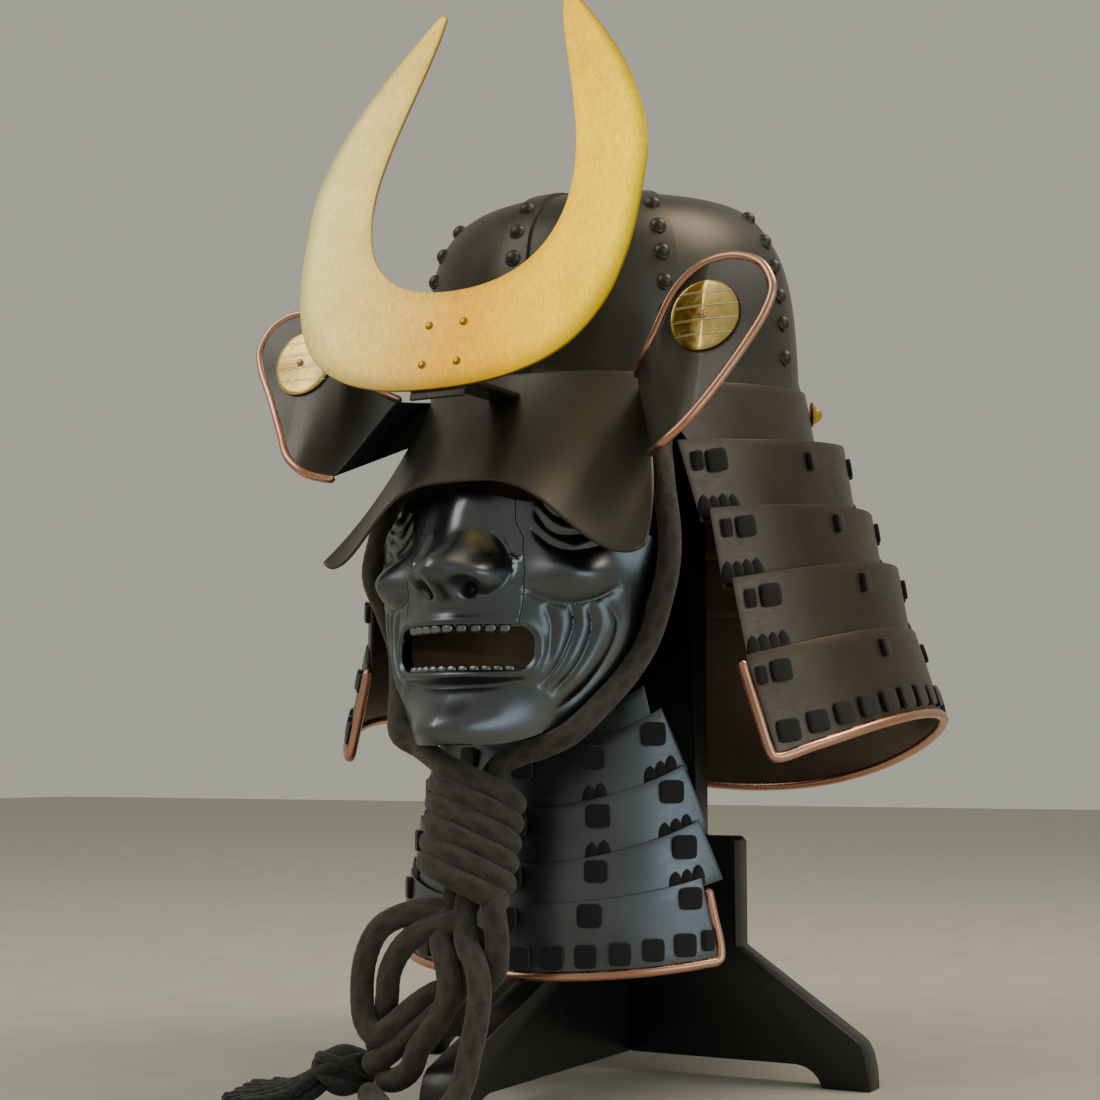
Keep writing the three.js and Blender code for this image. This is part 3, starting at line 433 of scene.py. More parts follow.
def tubePiece(name, line, radius, sides, material, relief=None, flipX=False):
    points, faces, uvs, ends = tubeParts(line, radius, sides, relief)
    if flipX:
        points = points * (-1, 1, 1)
    allFaces = faces.tolist() + ends
    flat = np.concatenate([uvs.reshape(-1, 2), np.zeros((2 * sides, 2))])
    return addPiece(name, points, allFaces, material, 60, uvs=flat)


def merged(parts):
    points, faces, start = [], [], 0
    for p, f in parts:
        points.append(p)
        faces.extend([[corner + start for corner in face] for face in f])
        start += len(p)
    return np.concatenate(points), faces


def cutBy(piece, cutter, operation):
    boolean = piece.modifiers.new("cut", "BOOLEAN")
    boolean.object = cutter
    boolean.operation = operation
    boolean.solver = "MANIFOLD"
    bake(piece)


def remove(piece):
    mesh = piece.data
    bpy.data.objects.remove(piece)
    bpy.data.meshes.remove(mesh)


# One copy of a small shape on each point, turned and sized by the points' own attributes
def makeRepeater():
    tree = bpy.data.node_groups.new("repeatOnPoints", "GeometryNodeTree")
    named = [
        ("Points", "INPUT", "NodeSocketGeometry"),
        ("Shape", "INPUT", "NodeSocketObject"),
        ("Finish", "INPUT", "NodeSocketMaterial"),
        ("Smallest", "INPUT", "NodeSocketFloat"),
        ("Seed", "INPUT", "NodeSocketInt"),
        ("Geometry", "OUTPUT", "NodeSocketGeometry"),
    ]
    for name, way, kind in named:
        tree.interface.new_socket(name, in_out=way, socket_type=kind)
    given = addNode(tree, "NodeGroupInput").outputs
    shape = addNode(tree, "GeometryNodeObjectInfo", {"Object": given["Shape"]})
    turn = addNode(tree, "GeometryNodeInputNamedAttribute", {"Name": "turn"}, data_type="FLOAT_VECTOR")
    size = addNode(tree, "GeometryNodeInputNamedAttribute", {"Name": "size"}, data_type="FLOAT_VECTOR")
    jitter = addNode(tree, "FunctionNodeRandomValue", data_type="FLOAT")
    floats = [s for s in jitter.inputs if s.type == "VALUE" and s.enabled]
    tree.links.new(given["Smallest"], floats[0])
    floats[1].default_value = 1.0
    tree.links.new(given["Seed"], jitter.inputs["Seed"])
    chance = next(s for s in jitter.outputs if s.enabled)
    scaled = addNode(tree, "ShaderNodeVectorMath", {0: size.outputs[0], "Scale": chance}, operation="SCALE")
    spread = addNode(tree, "GeometryNodeInstanceOnPoints", {
        "Points": given["Points"],
        "Instance": shape.outputs["Geometry"],
        "Rotation": turn.outputs[0],
        "Scale": scaled.outputs[0],
    })
    real = addNode(tree, "GeometryNodeRealizeInstances", {"Geometry": spread.outputs[0]})
    dressed = {"Geometry": real.outputs[0], "Material": given["Finish"]}
    finish = addNode(tree, "GeometryNodeSetMaterial", dressed)
    result = addNode(tree, "NodeGroupOutput")
    tree.links.new(finish.outputs[0], result.inputs[0])
    return tree


repeater = makeRepeater()


def shapeObject(name, points, faces):
    mesh = bpy.data.meshes.new(name)
    mesh.from_pydata((np.asarray(points) / 1000).tolist(), [], [list(map(int, f)) for f in faces])
    work = bmesh.new()
    work.from_mesh(mesh)
    bmesh.ops.remove_doubles(work, verts=work.verts, dist=1e-7)
    bmesh.ops.recalc_face_normals(work, faces=work.faces)
    work.to_mesh(mesh)
    work.free()
    mesh.shade_smooth()
    made = bpy.data.objects.new(name, mesh)
    scene.collection.objects.link(made)
    return made


# Rows are place, outward way, upward way and size in mm
def repeatPiece(name, shape, rows, material, smallest=1.0, seed=1):
    points = bpy.data.meshes.new(name)
    points.from_pydata(toFrame([r[0] for r in rows]).tolist(), [], [])
    turns, sizes = [], []
    for _, outward, upward, size in rows:
        y = Vector(outward).normalized()
        x = y.cross(Vector(upward)).normalized()
        z = x.cross(y)
        turns.append(Matrix((x, y, z)).transposed().to_euler())
        sizes.append(size)
    for key, values in (("turn", turns), ("size", sizes)):
        layer = points.attributes.new(key, "FLOAT_VECTOR", "POINT")
        layer.data.foreach_set("vector", np.array([list(v) for v in values], np.float32).ravel())
    piece = bpy.data.objects.new(name, points)
    scene.collection.objects.link(piece)
    modifier = piece.modifiers.new("repeat", "NODES")
    modifier.node_group = repeater
    given = {"Shape": shape, "Finish": material, "Smallest": float(smallest), "Seed": int(seed)}
    for item in repeater.interface.items_tree:
        if item.item_type == "SOCKET" and item.in_out == "INPUT" and item.name in given:
            modifier[item.identifier] = given[item.name]
    bake(piece)
    piece.data.set_sharp_from_angle(angle=rad(50))
    return piece


# A rounded block of 1 mm: its back lies at y = 0, its front at y = 1
def roundedBlock(name, roundness, around=14, up=8):
    power = lambda value: np.sign(value) * np.abs(value) ** roundness
    turn = np.linspace(0, math.tau, around, endpoint=False)
    lift = np.linspace(-math.pi / 2, math.pi / 2, up + 1)[:, None]
    ring = power(np.cos(lift))
    depth = 0.5 + 0.5 * power(np.sin(lift)) + 0 * turn
    points = join3(0.5 * ring * power(np.cos(turn)), depth, 0.5 * ring * power(np.sin(turn)))
    return shapeObject(name, points.reshape(-1, 3), gridFaces(up + 1, around, closed=True))


def turnedShape(name, profile, segments):
    points, faces = latheParts(profile, segments)
    swapped = points[:, [0, 2, 1]] * (1, 1, -1)
    return shapeObject(name, swapped, faces)


def repeatTurned(name, profile, segments, rows, material):
    shape = turnedShape(name + "Shape", profile, segments)
    piece = repeatPiece(name, shape, rows, material)
    remove(shape)
    return piece


print("helpers ready")

# Chin cord: its routes are the part's own, in metres
cord = {
    "radius": 6.5, "sides": 24, "step": 0.9, "helixRadius": 20.5, "helixTurns": 5.375,
    "helixStart": 225, "tilt": 0.33,
}
chinRoute = [
    [0.0864, -0.06, 0.424], [0.0788, -0.071, 0.406], [0.0732, -0.079, 0.391], [0.074, -0.086, 0.378],
    [0.079, -0.099, 0.366], [0.086, -0.112, 0.353], [0.091, -0.12, 0.338], [0.096, -0.125, 0.316],
    [0.097, -0.128, 0.297], [0.0904, -0.124, 0.2768], [0.0822, -0.1229, 0.2555], [0.0744, -0.1317, 0.2373],
    [0.0645, -0.1478, 0.2186], [0.0539, -0.1621, 0.2036], [0.039, -0.165, 0.1965],
]
coreRoute = [
    [0.026, -0.165, 0.193], [0.014, -0.167, 0.187], [0.008, -0.17, 0.176], [0.007, -0.175, 0.158],
    [0.007, -0.181, 0.138], [0.005, -0.186, 0.118],
]
wrapEnds = [[0, -0.165, 0.185], [0, -0.183, 0.116]]
loopRoute = [
    [0.022, -0.188, 0.1133], [0.0235, -0.187, 0.096], [0.0215, -0.185, 0.08], [0.013, -0.181, 0.072],
    [0, -0.181, 0.07], [-0.013, -0.189, 0.066], [-0.022, -0.196, 0.059], [-0.0327, -0.199, 0.0495],
    [-0.0435, -0.2, 0.0435], [-0.052, -0.198, 0.0505], [-0.0548, -0.197, 0.066], [-0.0525, -0.197, 0.084],
    [-0.0435, -0.197, 0.0995], [-0.03, -0.194, 0.107], [-0.015, -0.19, 0.11], [0, -0.184, 0.1091],
]
tuckRoute = [
    [0.006, -0.182, 0.119], [0.008, -0.18, 0.127], [0.001, -0.18, 0.131], [-0.004, -0.182, 0.122],
]
fallRoute = [
    [-0.0046, -0.186, 0.1105], [-0.007, -0.191, 0.103], [-0.0074, -0.193, 0.094], [-0.0015, -0.197, 0.0825],
    [0.002, -0.2, 0.07], [0, -0.202, 0.059], [-0.006, -0.2035, 0.049], [-0.014, -0.204, 0.039],
    [-0.02, -0.202, 0.028], [-0.033, -0.197, 0.0205], [-0.046, -0.193, 0.02],
]
innerRoute = [
    [0.0088, -0.187, 0.106], [-0.006, -0.192, 0.1028], [-0.02, -0.194, 0.098], [-0.0315, -0.194, 0.089],
    [-0.039, -0.194, 0.076], [-0.0415, -0.1925, 0.063], [-0.0457, -0.188, 0.0519],
    [-0.0505, -0.1842, 0.041], [-0.0566, -0.1848, 0.0309],
]
lowerRoute = [
    [0.008, -0.184, 0.102], [0.008, -0.186, 0.086], [0.004, -0.19, 0.072], [-0.004, -0.193, 0.06],
    [-0.012, -0.195, 0.053], [-0.022, -0.197, 0.0455], [-0.032, -0.198, 0.038], [-0.042, -0.197, 0.031],
    [-0.0535, -0.1944, 0.0258],
]
rightFallRoute = [
    [0.005, -0.189, 0.106], [0.008, -0.192, 0.093], [0.015, -0.196, 0.085], [0.021, -0.201, 0.074],
    [0.023, -0.205, 0.062], [0.0225, -0.208, 0.05], [0.021, -0.211, 0.038], [0.02, -0.215, 0.026],
    [0.017, -0.222, 0.015], [0.008, -0.231, 0.009], [-0.006, -0.233, 0.008], [-0.02, -0.226, 0.009],
    [-0.034, -0.213, 0.011], [-0.048, -0.203, 0.015],
]


def braidRelief(around, along):
    return 0.972 + 0.028 * np.abs(np.sin(math.pi * (4 * around + along / 5.5)))


def mirrorRoute(points):
    return [[-x, y, z] for x, y, z in points]


def helixRoute():
    top, foot = (np.array(p) * 1000 for p in wrapEnds)
    down = unit(foot - top)
    top, foot = top + down * cord["radius"], foot - down * cord["radius"]
    right = np.array([1.0, 0, 0])
    back = np.cross(right, down)
    back = back if back[1] > 0 else -back
    turn = np.linspace(0, cord["helixTurns"], int(cord["helixTurns"] * 16))
    angle = np.radians(cord["helixStart"]) + turn * math.tau
    centre = mix(top, foot, (turn / cord["helixTurns"])[:, None])
    offset = np.cos(angle)[:, None] * right + np.sin(angle)[:, None] * back
    offset[:, 2] -= cord["tilt"] * np.cos(angle)
    return (centre + offset * cord["helixRadius"]) / 1000


def inMm(points):
    return np.asarray(points, float) * 1000


def cordPiece(name, route, nodes):
    line = routeThrough(inMm(route), cord["step"])
    piece = tubePiece(name, line, cord["radius"], cord["sides"], braidedCord, braidRelief)
    dress(piece, "cordage", *nodes)
    return piece


# Tassel: a bound head and thick locks that lie on the table
tassel = {
    "head": (-70, -191, 22), "headRadius": 14.5, "reach": 66, "locks": 30, "spread": 80, "aim": 204,
    "lockRadius": 3.1, "start": 7.0, "perLayer": 15, "layerRise": 5.5, "bandTurns": 3.2, "bandRadius": 3.2,
}


def yarnRelief(around, along):
    return 0.95 + 0.05 * np.sin(math.tau * (2 * around + along / 7))


def makeTassel():
    t = tassel
    head = np.array(t["head"], float)
    lift = np.linspace(-math.pi / 2, math.pi / 2, 19)
    ball = np.stack([t["headRadius"] * np.cos(lift), t["headRadius"] * 0.95 * np.sin(lift)], -1)
    points, faces = latheParts(ball, 28)
    uvs = [(0, 0)] * (4 * len(faces))
    parts = [(points + head, faces.tolist())]
    rng = np.random.default_rng(5)
    band = []
    for turn in np.linspace(0, t["bandTurns"] * math.tau, 90):
        tilt = 0.55 * math.sin(turn * 0.75)
        way = np.array([math.cos(turn), math.sin(turn), math.tan(tilt)])
        band.append(head + way / np.linalg.norm(way) * (t["headRadius"] + 0.6))
    strands = [(routeThrough(band, 1.5), t["bandRadius"], 10)]
    for i in range(t["locks"]):
        share = (i % t["perLayer"]) / (t["perLayer"] - 1)
        layer = i // t["perLayer"]
        angle = rad(t["aim"] + (share - 0.5) * t["spread"] + rng.uniform(-3, 3))
        reach = t["reach"] * rng.uniform(0.86, 1.0)
        high = t["lockRadius"] + 0.6 + layer * t["layerRise"]
        places = []
        for s in (0, 0.22, 0.45, 0.7, 0.88, 1.0):
            out = mix(t["start"], reach, s)
            bend = angle + rng.uniform(-0.05, 0.05)
            atHead = head[2] + (4 if layer else -4)
            z = mix(atHead, high + layer * 2.5 * (1 - s), min(s * 1.8, 1) ** 0.8)
            places.append([head[0] + out * math.cos(bend), head[1] + out * math.sin(bend), z])
        strands.append((routeThrough(places, 2.0), t["lockRadius"], 9))
    for line, radius, sides in strands:
        p, f, uv, ends = tubeParts(line, radius, sides, yarnRelief)
        parts.append((p, f.tolist() + ends))
        uvs.extend(uv.reshape(-1, 2).tolist() + [(0, 0)] * (2 * sides))
    points, faces = merged(parts)
    return addPiece("tasselYarns", points, faces, tasselYarn, 60, uvs=uvs)


yarns = dress(makeTassel(), "cordage", "tassel")
leftRoute = chinRoute + coreRoute + rightFallRoute
cordPiece("chinCordLeft", leftRoute, ["chin_cord_left"])
rightRoute = mirrorRoute(chinRoute) + helixRoute().tolist() + loopRoute + tuckRoute + fallRoute
cordPiece("chinCordRight", rightRoute, ["chin_cord_right", "cord_wrap"])
cordPiece("knotInnerCord", innerRoute, ["cord_knot"])
cordPiece("knotLowerCord", lowerRoute, [])
print("cords ready")

# Helmet bowl
bowl = {
    "halfWidth": 112, "front": 136, "rear": 122, "centreY": 9, "rimZ": 400, "height": 138, "power": 4.2,
    "lean": 5, "wall": 2, "bandGrow": 1.7, "bandTop": 20, "seam": 45, "edgeAfter": 4.6, "plateStep": 1.8,
}
rivetHeights = (33, 54, 71, 89, 105, 120)


def leanPoint(x, y, z):
    c, s = math.cos(rad(bowl["lean"])), math.sin(rad(bowl["lean"]))
    return join3(x, y * c - z * s, bowl["rimZ"] + y * s + z * c)


def domePoint(turn, ratio, rise, grow=0):
    depth = np.where(np.cos(turn) > 0, bowl["front"], bowl["rear"])
    x = (bowl["halfWidth"] + grow) * ratio * np.sin(turn)
    y = bowl["centreY"] - (depth + grow) * ratio * np.cos(turn)
    return leanPoint(x, y, (bowl["height"] + grow) * rise)


def domeAtHeight(turn, height, grow=0):
    rise = np.minimum(np.asarray(height, float) / bowl["height"], 1)
    return domePoint(turn, (1 - rise ** bowl["power"]) ** (1 / bowl["power"]), rise, grow)


# Each plate laps over the next one behind it: it stands proud at its rear edge
def plateGrow(turnDeg):
    away = np.abs((turnDeg + 180) % 360 - 180)
    share = ((away - bowl["edgeAfter"]) % bowl["seam"]) / bowl["seam"]
    return np.where(away < bowl["edgeAfter"], 1.0, share**1.5) * bowl["plateStep"]


def makeBowl():
    edges = [s * (k * bowl["seam"] + bowl["edgeAfter"]) for k in range(4) for s in (1, -1)]
    turns = np.concatenate([np.linspace(-180, 180, 241)[:-1]] + [[e - 0.12, e + 0.12] for e in edges])
    turns = np.unique(turns)
    share = np.sin(np.linspace(0, math.pi / 2, 56)) ** 2
    angle = (math.pi / 2) * (1 - share)
    ratio = np.cos(angle) ** (2 / bowl["power"])
    rise = np.sin(angle) ** (2 / bowl["power"])
    ratio[0], rise[-1] = 0, 0
    rows = np.argsort(rise)
    ratio, rise = ratio[rows][:, None], rise[rows][:, None]
    turn = np.radians(turns)[None, :]
    fade = smoothStep(ratio, 0.08, 0.3)
    band = bowl["bandGrow"] * (1 - smoothStep(rise * bowl["height"], bowl["bandTop"] - 0.6, bowl["bandTop"]))
    grow = np.maximum(plateGrow(turns)[None, :] * fade, band)
    outer = domePoint(turn, ratio, rise, grow)
    inner = domePoint(turn, ratio, rise, -bowl["wall"])
    count = outer.shape[0] * outer.shape[1]
    points = np.concatenate([outer.reshape(-1, 3), inner.reshape(-1, 3)])
    columns = outer.shape[1]
    ring = np.arange(columns)
    lip = np.stack([ring, np.roll(ring, -1), np.roll(ring, -1) + count, ring + count], -1)
    outerFaces = gridFaces(outer.shape[0], columns, closed=True)
    innerFaces = gridFaces(outer.shape[0], columns, count, closed=True, flip=True)
    return addPiece("bowlShell", points, np.concatenate([outerFaces, innerFaces, lip]), bowlPaint, 28)


def makeRivets():
    profile = [(5.6, 0.0), (5.6, 0.5), (4.9, 0.9)]
    profile += [(4.8 * math.cos(a), 0.9 + 4.2 * math.sin(a)) for a in np.linspace(0.12, math.pi / 2, 6)]
    rows = []
    for seam in range(8):
        turn = rad(seam * 45)
        for height in rivetHeights:
            place = domeAtHeight(turn, height, 0.6)
            outward = domeAtHeight(turn, height, 8) - place
            rows.append((place, outward, (0, 0.02, 1), (1, 1, 1)))
    return repeatTurned("bowlRivets", profile, 16, rows, bowlPaint)


def makeCrown():
    profile = [
        (10, 0), (25, -3.4), (25.4, -2.2), (24, -1), (22.5, 0.6), (21, 2.2), (19.4, 2.2), (18.6, 3.6),
        (16.5, 4.6), (15.6, 4.4), (14.6, 5.6), (14.6, 8.4), (13.8, 9.4), (13.2, 9.4), (13.2, 11.6),
        (13.6, 12.4), (13, 13), (10.6, 13), (10, 12.2), (10, 0),
    ]
    points, faces = latheParts(profile, 96, lambda t: 1 + 0.02 * np.cos(16 * t))
    top = domePoint(0, 0, 1)
    c, s = math.cos(rad(bowl["lean"])), math.sin(rad(bowl["lean"]))
    turned = join3(points[:, 0], points[:, 1] * c - points[:, 2] * s, points[:, 1] * s + points[:, 2] * c)
    return addPiece("crownRings", turned + top + (0, 0, 0.8), faces, giltBrass, 40)


dress(makeBowl(), "lacquer", "bowl")
dress(makeRivets(), "lacquer")
dress(makeCrown(), "brass", "crown_ornament")
print("bowl ready")

# Visor
visor = {
    "wall": 1.8, "topHalf": 66, "topZ": 410, "edgeHalf": 103, "edgeY": -193.4, "edgeZ": 340.5,
    "lobeDrop": 41.6, "lobeX": 94,
}


def visorPoint(u, v):
    side = 2 * u - 1
    x = visor["topHalf"] * side
    topY = bowl["centreY"] - 1.2 - bowl["front"] * np.sqrt(1 - (x / bowl["halfWidth"]) ** 2)
    top = join3(x * 1.02, topY - 1.6 - bowl["bandGrow"] - 0.6, visor["topZ"])
    x = visor["edgeHalf"] * side
    share = np.minimum(np.abs(x) / visor["lobeX"], 1)
    drop = (0.5 - 0.5 * np.cos(math.pi * share)) ** 2
    corner = np.maximum(np.abs(x) - visor["lobeX"], 0)
    edgeZ = visor["edgeZ"] - visor["lobeDrop"] * drop + 0.05 * corner**2
    edge = join3(x, visor["edgeY"] + 19.4 * (x / 95) ** 2, edgeZ)
    bend = join3(92 * side, mix(-152, -120, side**2), mix(371, 345, side**2))
    t = (1 - v)[..., None]
    return top * (1 - t) ** 2 + bend * 2 * t * (1 - t) + edge * t**2


dress(sheetPiece("visorPlate", visorPoint, visor["wall"], 120, 44, bowlPaint, 0.6), "lacquer", "visor")

# Crest: a flat crescent, leaning back on its holder
crest = {
    "footY": -214, "footZ": 387, "lean": 17, "wall": 2, "wideAt": 125, "outerHalf": 108.5, "innerHalf": 65,
    "innerFoot": 60, "tipX": 41, "tipZ": 254,
}
crestRivets = [(11, 15.5), (-11, 15.5), (11, 39.5), (-11, 39.5)]


def bezier(a, b, c, d, steps):
    t = np.linspace(0, 1, steps, endpoint=False)[:, None]
    a, b, c, d = (np.array(p, float) for p in (a, b, c, d))
    return a * (1 - t) ** 3 + 3 * b * t * (1 - t) ** 2 + 3 * c * t**2 * (1 - t) + d * t**3


def crestPoint(x, up, behind):
    c, s = math.cos(rad(crest["lean"])), math.sin(rad(crest["lean"]))
    y = np.asarray(behind, float) * c + np.asarray(up, float) * s
    z = -np.asarray(behind, float) * s + np.asarray(up, float) * c
    return join3(x, crest["footY"] + y, crest["footZ"] + z)


def makeCrest():
    c = crest
    tip, low = (c["tipX"] + 1.5, c["tipZ"]), (c["tipX"] - 2, c["tipZ"] - 3)
    outer = np.concatenate([
        bezier((0, 0), (92, 0), (c["outerHalf"], 40), (c["outerHalf"], c["wideAt"]), 40),
        bezier((c["outerHalf"], c["wideAt"]), (c["outerHalf"], 162), (84, 206), tip, 40),
        [tip],
    ])
    waist = (c["innerHalf"], c["wideAt"])
    inner = np.concatenate([
        bezier((0, c["innerFoot"]), (45, c["innerFoot"]), (c["innerHalf"], 85), waist, 40),
        bezier(waist, (c["innerHalf"], 165), (42, 215), low, 40),
        [low],
    ])
    shares = np.linspace(0, 1, 5)[None, :, None]
    half = inner[:, None, :] * (1 - shares) + outer[:, None, :] * shares
    whole = np.concatenate([half[:0:-1] * (-1, 1), half])
    x, up = whole[..., 0].ravel(), whole[..., 1].ravel()
    points = np.concatenate([crestPoint(x, up, -c["wall"] / 2), crestPoint(x, up, c["wall"] / 2)])
    return addPiece("crestPlate", points, shellFaces(*whole.shape[:2]), crestBrass, 32, 0.4)


def makeCrestRivets():
    profile = [(2.4, 0), (2.3, 0.5)]
    profile += [(2.2 * math.cos(a), 0.5 + 0.8 * math.sin(a)) for a in np.linspace(0.3, math.pi / 2, 4)]
    front = crestPoint(0, 0, -1) - crestPoint(0, 0, 0)
    rows = [(crestPoint(x, up, -crest["wall"] / 2), front, (0, 0, 1), (1, 1, 1)) for x, up in crestRivets]
    return repeatTurned("crestRivets", profile, 14, rows, crestBrass)


# A finer copy of a CAD node: merged, its flat faces rejoined and its edges rounded
def bevelledCopy(name, node, material, bevelMm, sharpDeg=38, steps=2):
    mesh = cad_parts[node].data.copy()
    work = bmesh.new()
    work.from_mesh(mesh)
    bmesh.ops.remove_doubles(work, verts=work.verts, dist=2e-6)
    bmesh.ops.dissolve_limit(work, angle_limit=rad(1), verts=work.verts, edges=work.edges)
    work.to_mesh(mesh)
    work.free()
    return settle(name, mesh, material, sharpDeg, bevelMm, steps)


dress(makeCrest(), "brass", "crest")
dress(makeCrestRivets(), "brass")
dress(bevelledCopy("crestSocket", "crest_holder", bowlPaint, 0.5), "lacquer", "crest_holder")
print("crest ready")

# Neck guard: lines from the top of the first lame to the bottom rim, and the lames between them
lineKeys = ("half", "centre", "front", "rear", "z", "slope", "sag")
guardLines = [dict(zip(lineKeys, row)) for row in (
    (116.2, 8, 139.8, 126, 414, 0.1, 0),
    (137.6, 14.8, 162, 147, 379, 0.1, 0),
    (152.4, 23.2, 170.7, 155, 339.4, 0.06, 0.0004),
    (166.6, 29.5, 179, 163, 305.3, 0.09, 0.00075),
    (174.7, 35.1, 180.8, 171, 266.2, 0.11, 0.0011),
    (189.7, 40, 189.7, 188, 213.8, 0.144, 0.00148),
)]
# A lame's foot lies its inset inside the next line and its overlap below; ends are degrees past the side
lameKeys = ("inset", "overlap", "endTop", "endFoot")
guardLames = [dict(zip(lameKeys, row)) for row in (
    (16.4, 8, 52, 40),
    (9, 8, 48, 45.5),
    (9, 7, 45, 44.5),
    (2.3, 7, 44, 43),
    (0, 0, 45, 42.3),
)]
guard = {"wall": 1.6, "trimRadius": 3.0, "studTurn": 27}


def ellipsePoint(line, turnDeg, inset):
    turn = np.radians(turnDeg)
    reach = np.where(np.sin(turn) < 0, line["front"], line["rear"])
    x = (line["half"] - inset) * np.cos(turn)
    y = line["centre"] + (reach - inset) * np.sin(turn)
    return join3(x, y, line["z"] + line["slope"] * y - line["sag"] * y * y)


def guardPoint(k, turnDeg, share, inward=0):
    top = ellipsePoint(guardLines[k], turnDeg, inward)
    foot = ellipsePoint(guardLines[k + 1], turnDeg, guardLames[k]["inset"] + inward)
    foot = foot - (0, 0, guardLames[k]["overlap"])
    share = np.asarray(share, float)
    return foot + (top - foot) * share[..., None]


def lameSurface(k):
    lame = guardLames[k]
    last = k == len(guardLames) - 1
    lowest, trim = (0.02, 1.0) if last else (0, 0)

    def surface(u, v):
        share = mix(lowest, 1, v)
        end = mix(lame["endFoot"], lame["endTop"], share) - trim
        return guardPoint(k, mix(-end, 180 + end, u), share)

    return surface


def makeGuardTrim():
    k = len(guardLames) - 1
    lame = guardLames[k]
    near = [guardPoint(k, -mix(lame["endFoot"], lame["endTop"], s), s) for s in (0.97, 0.7, 0.4, 0.12)]
    near.append(guardPoint(k, -lame["endFoot"] + 0.3, 0.02))
    near += [guardPoint(k, turn, 0) for turn in np.arange(-34, 91, 15.5)]
    near = np.array(near)
    far = near[-2::-1] * (-1, 1, 1)
    points = np.concatenate([near, far])
    inward = unit((points - (0, 40, 0)) * (1, 1, 0)) * guard["wall"] / 2
    return tubePiece("neckRim", routeThrough(points - inward, 2.0), guard["trimRadius"], 16, copperTube)


for k in range(len(guardLames)):
    lame = sheetPiece(f"neckLame{k + 1}", lameSurface(k), guard["wall"], 200, 8, lameIron, 0.4)
    dress(lame, "lame", f"neck_lame_{k + 1}")
dress(makeGuardTrim(), "copper", "neck_trim")

# Lacing of the neck guard: pads on the lower four lames, tufts on three of them, pads above the rim
pad = {
    "thick": 3.2, "high": 0.74, "highLast": 0.78, "middleTurn": -11, "peakWidth": 9.5, "peakTall": 13,
    "peakStep": 6.6, "peaks": 4, "rimShare": 0.21, "rimStep": 5.9, "rimEnd": 91,
}
# Pairs of pads: degrees behind the wearer's side, distance of each pad from there in mm, and its width
columnPairs = [(22, 9.0, 7), (90, 12, 13)]


def alongEnd(k, share, backMm):
    lame = guardLames[k]
    line = guardLines[k + 1]
    end = -mix(lame["endFoot"], lame["endTop"], share)
    return end + math.degrees(backMm / (0.5 * (line["half"] + line["front"])))


def guardFrame(k, turnDeg, share):
    place = guardPoint(k, turnDeg, share)
    along = guardPoint(k, turnDeg + 0.5, share) - guardPoint(k, turnDeg - 0.5, share)
    up = guardPoint(k, turnDeg, min(share + 0.1, 1)) - guardPoint(k, turnDeg, max(share - 0.1, 0))
    outward = np.cross(along, up)
    if np.dot(outward, place - (0, 40, place[2])) < 0:
        outward = -outward
    return place, outward, up


def guardRow(k, turnDeg, share, width, tall, thick):
    place, outward, up = guardFrame(k, turnDeg, share)
    lift = unit(outward) * -0.2
    flip = np.array([-1.0, 1.0, 1.0])
    near = (place + lift, outward, up, (width, thick, tall))
    return [near, ((place + lift) * flip, outward * flip, up * flip, (width, thick, tall))]


def makeGuardLacing():
    block = roundedBlock("padShape", 0.42)
    peak = peakShape()
    pads, peaks = [], []
    last = len(guardLames) - 1
    thick = pad["thick"]
    for k in range(1, last + 1):
        high = pad["high"] if k < last else pad["highLast"]
        pads += guardRow(k, alongEnd(k, high, 9), high, 7, 12, thick)
        pads += guardRow(k, alongEnd(k, high, 22), high, 13.5, 14, thick)
        pads += guardRow(k, pad["middleTurn"], high, 7.5, 12, thick)
        for turn, reach, width in columnPairs:
            for way in (-1, 1):
                pads += guardRow(k, turn + math.degrees(way * reach / 170), high, width, 13, thick)
    for k in range(1, last):
        for turn in ("end", 22, 90):
            for i in range(pad["peaks"]):
                reach = 5 + pad["peakStep"] * i
                at = alongEnd(k, 0.16, reach) if turn == "end" else turn + math.degrees((reach - 15) / 165)
                peaks += guardRow(k, at, 0.2, pad["peakWidth"], pad["peakTall"], thick)
    for turn in np.arange(alongEnd(last, 0.2, 14), pad["rimEnd"], pad["rimStep"]):
        pads += guardRow(last, turn, pad["rimShare"], 14.5, 14, thick)
    padPiece = repeatPiece("neckLacingPads", block, pads, lacingBraid, 0.9, 4)
    peakPiece = repeatPiece("neckLacingPeaks", peak, peaks, lacingBraid, 0.85, 7)
    remove(block)
    remove(peak)
    return padPiece, peakPiece


# A pointed tuft of lacing, 1 mm across and tall, with its back at y = 0
def peakShape():
    lift = np.linspace(0, 1, 7)[:, None]
    width = 0.5 * (1 - lift**3) ** 0.7
    turn = np.linspace(0, math.tau, 10, endpoint=False)
    depth = 0.35 + 0.6 * width * np.sin(turn) * 1.6 - 0.15 * lift
    points = join3(width * np.cos(turn), depth, lift - 0.5 + 0 * turn)
    faces = gridFaces(7, 10, closed=True).tolist() + [list(range(10))]
    return shapeObject("peakShape", points.reshape(-1, 3), faces)


laceNodes = [f"lace_{k}_{i}" for k in (1, 2, 3) for i in (1, 2, 3, 4, 5)]
lacingPads, lacingPeaks = makeGuardLacing()
dress(lacingPads, "lacing", *laceNodes)
dress(lacingPeaks, "lacing")


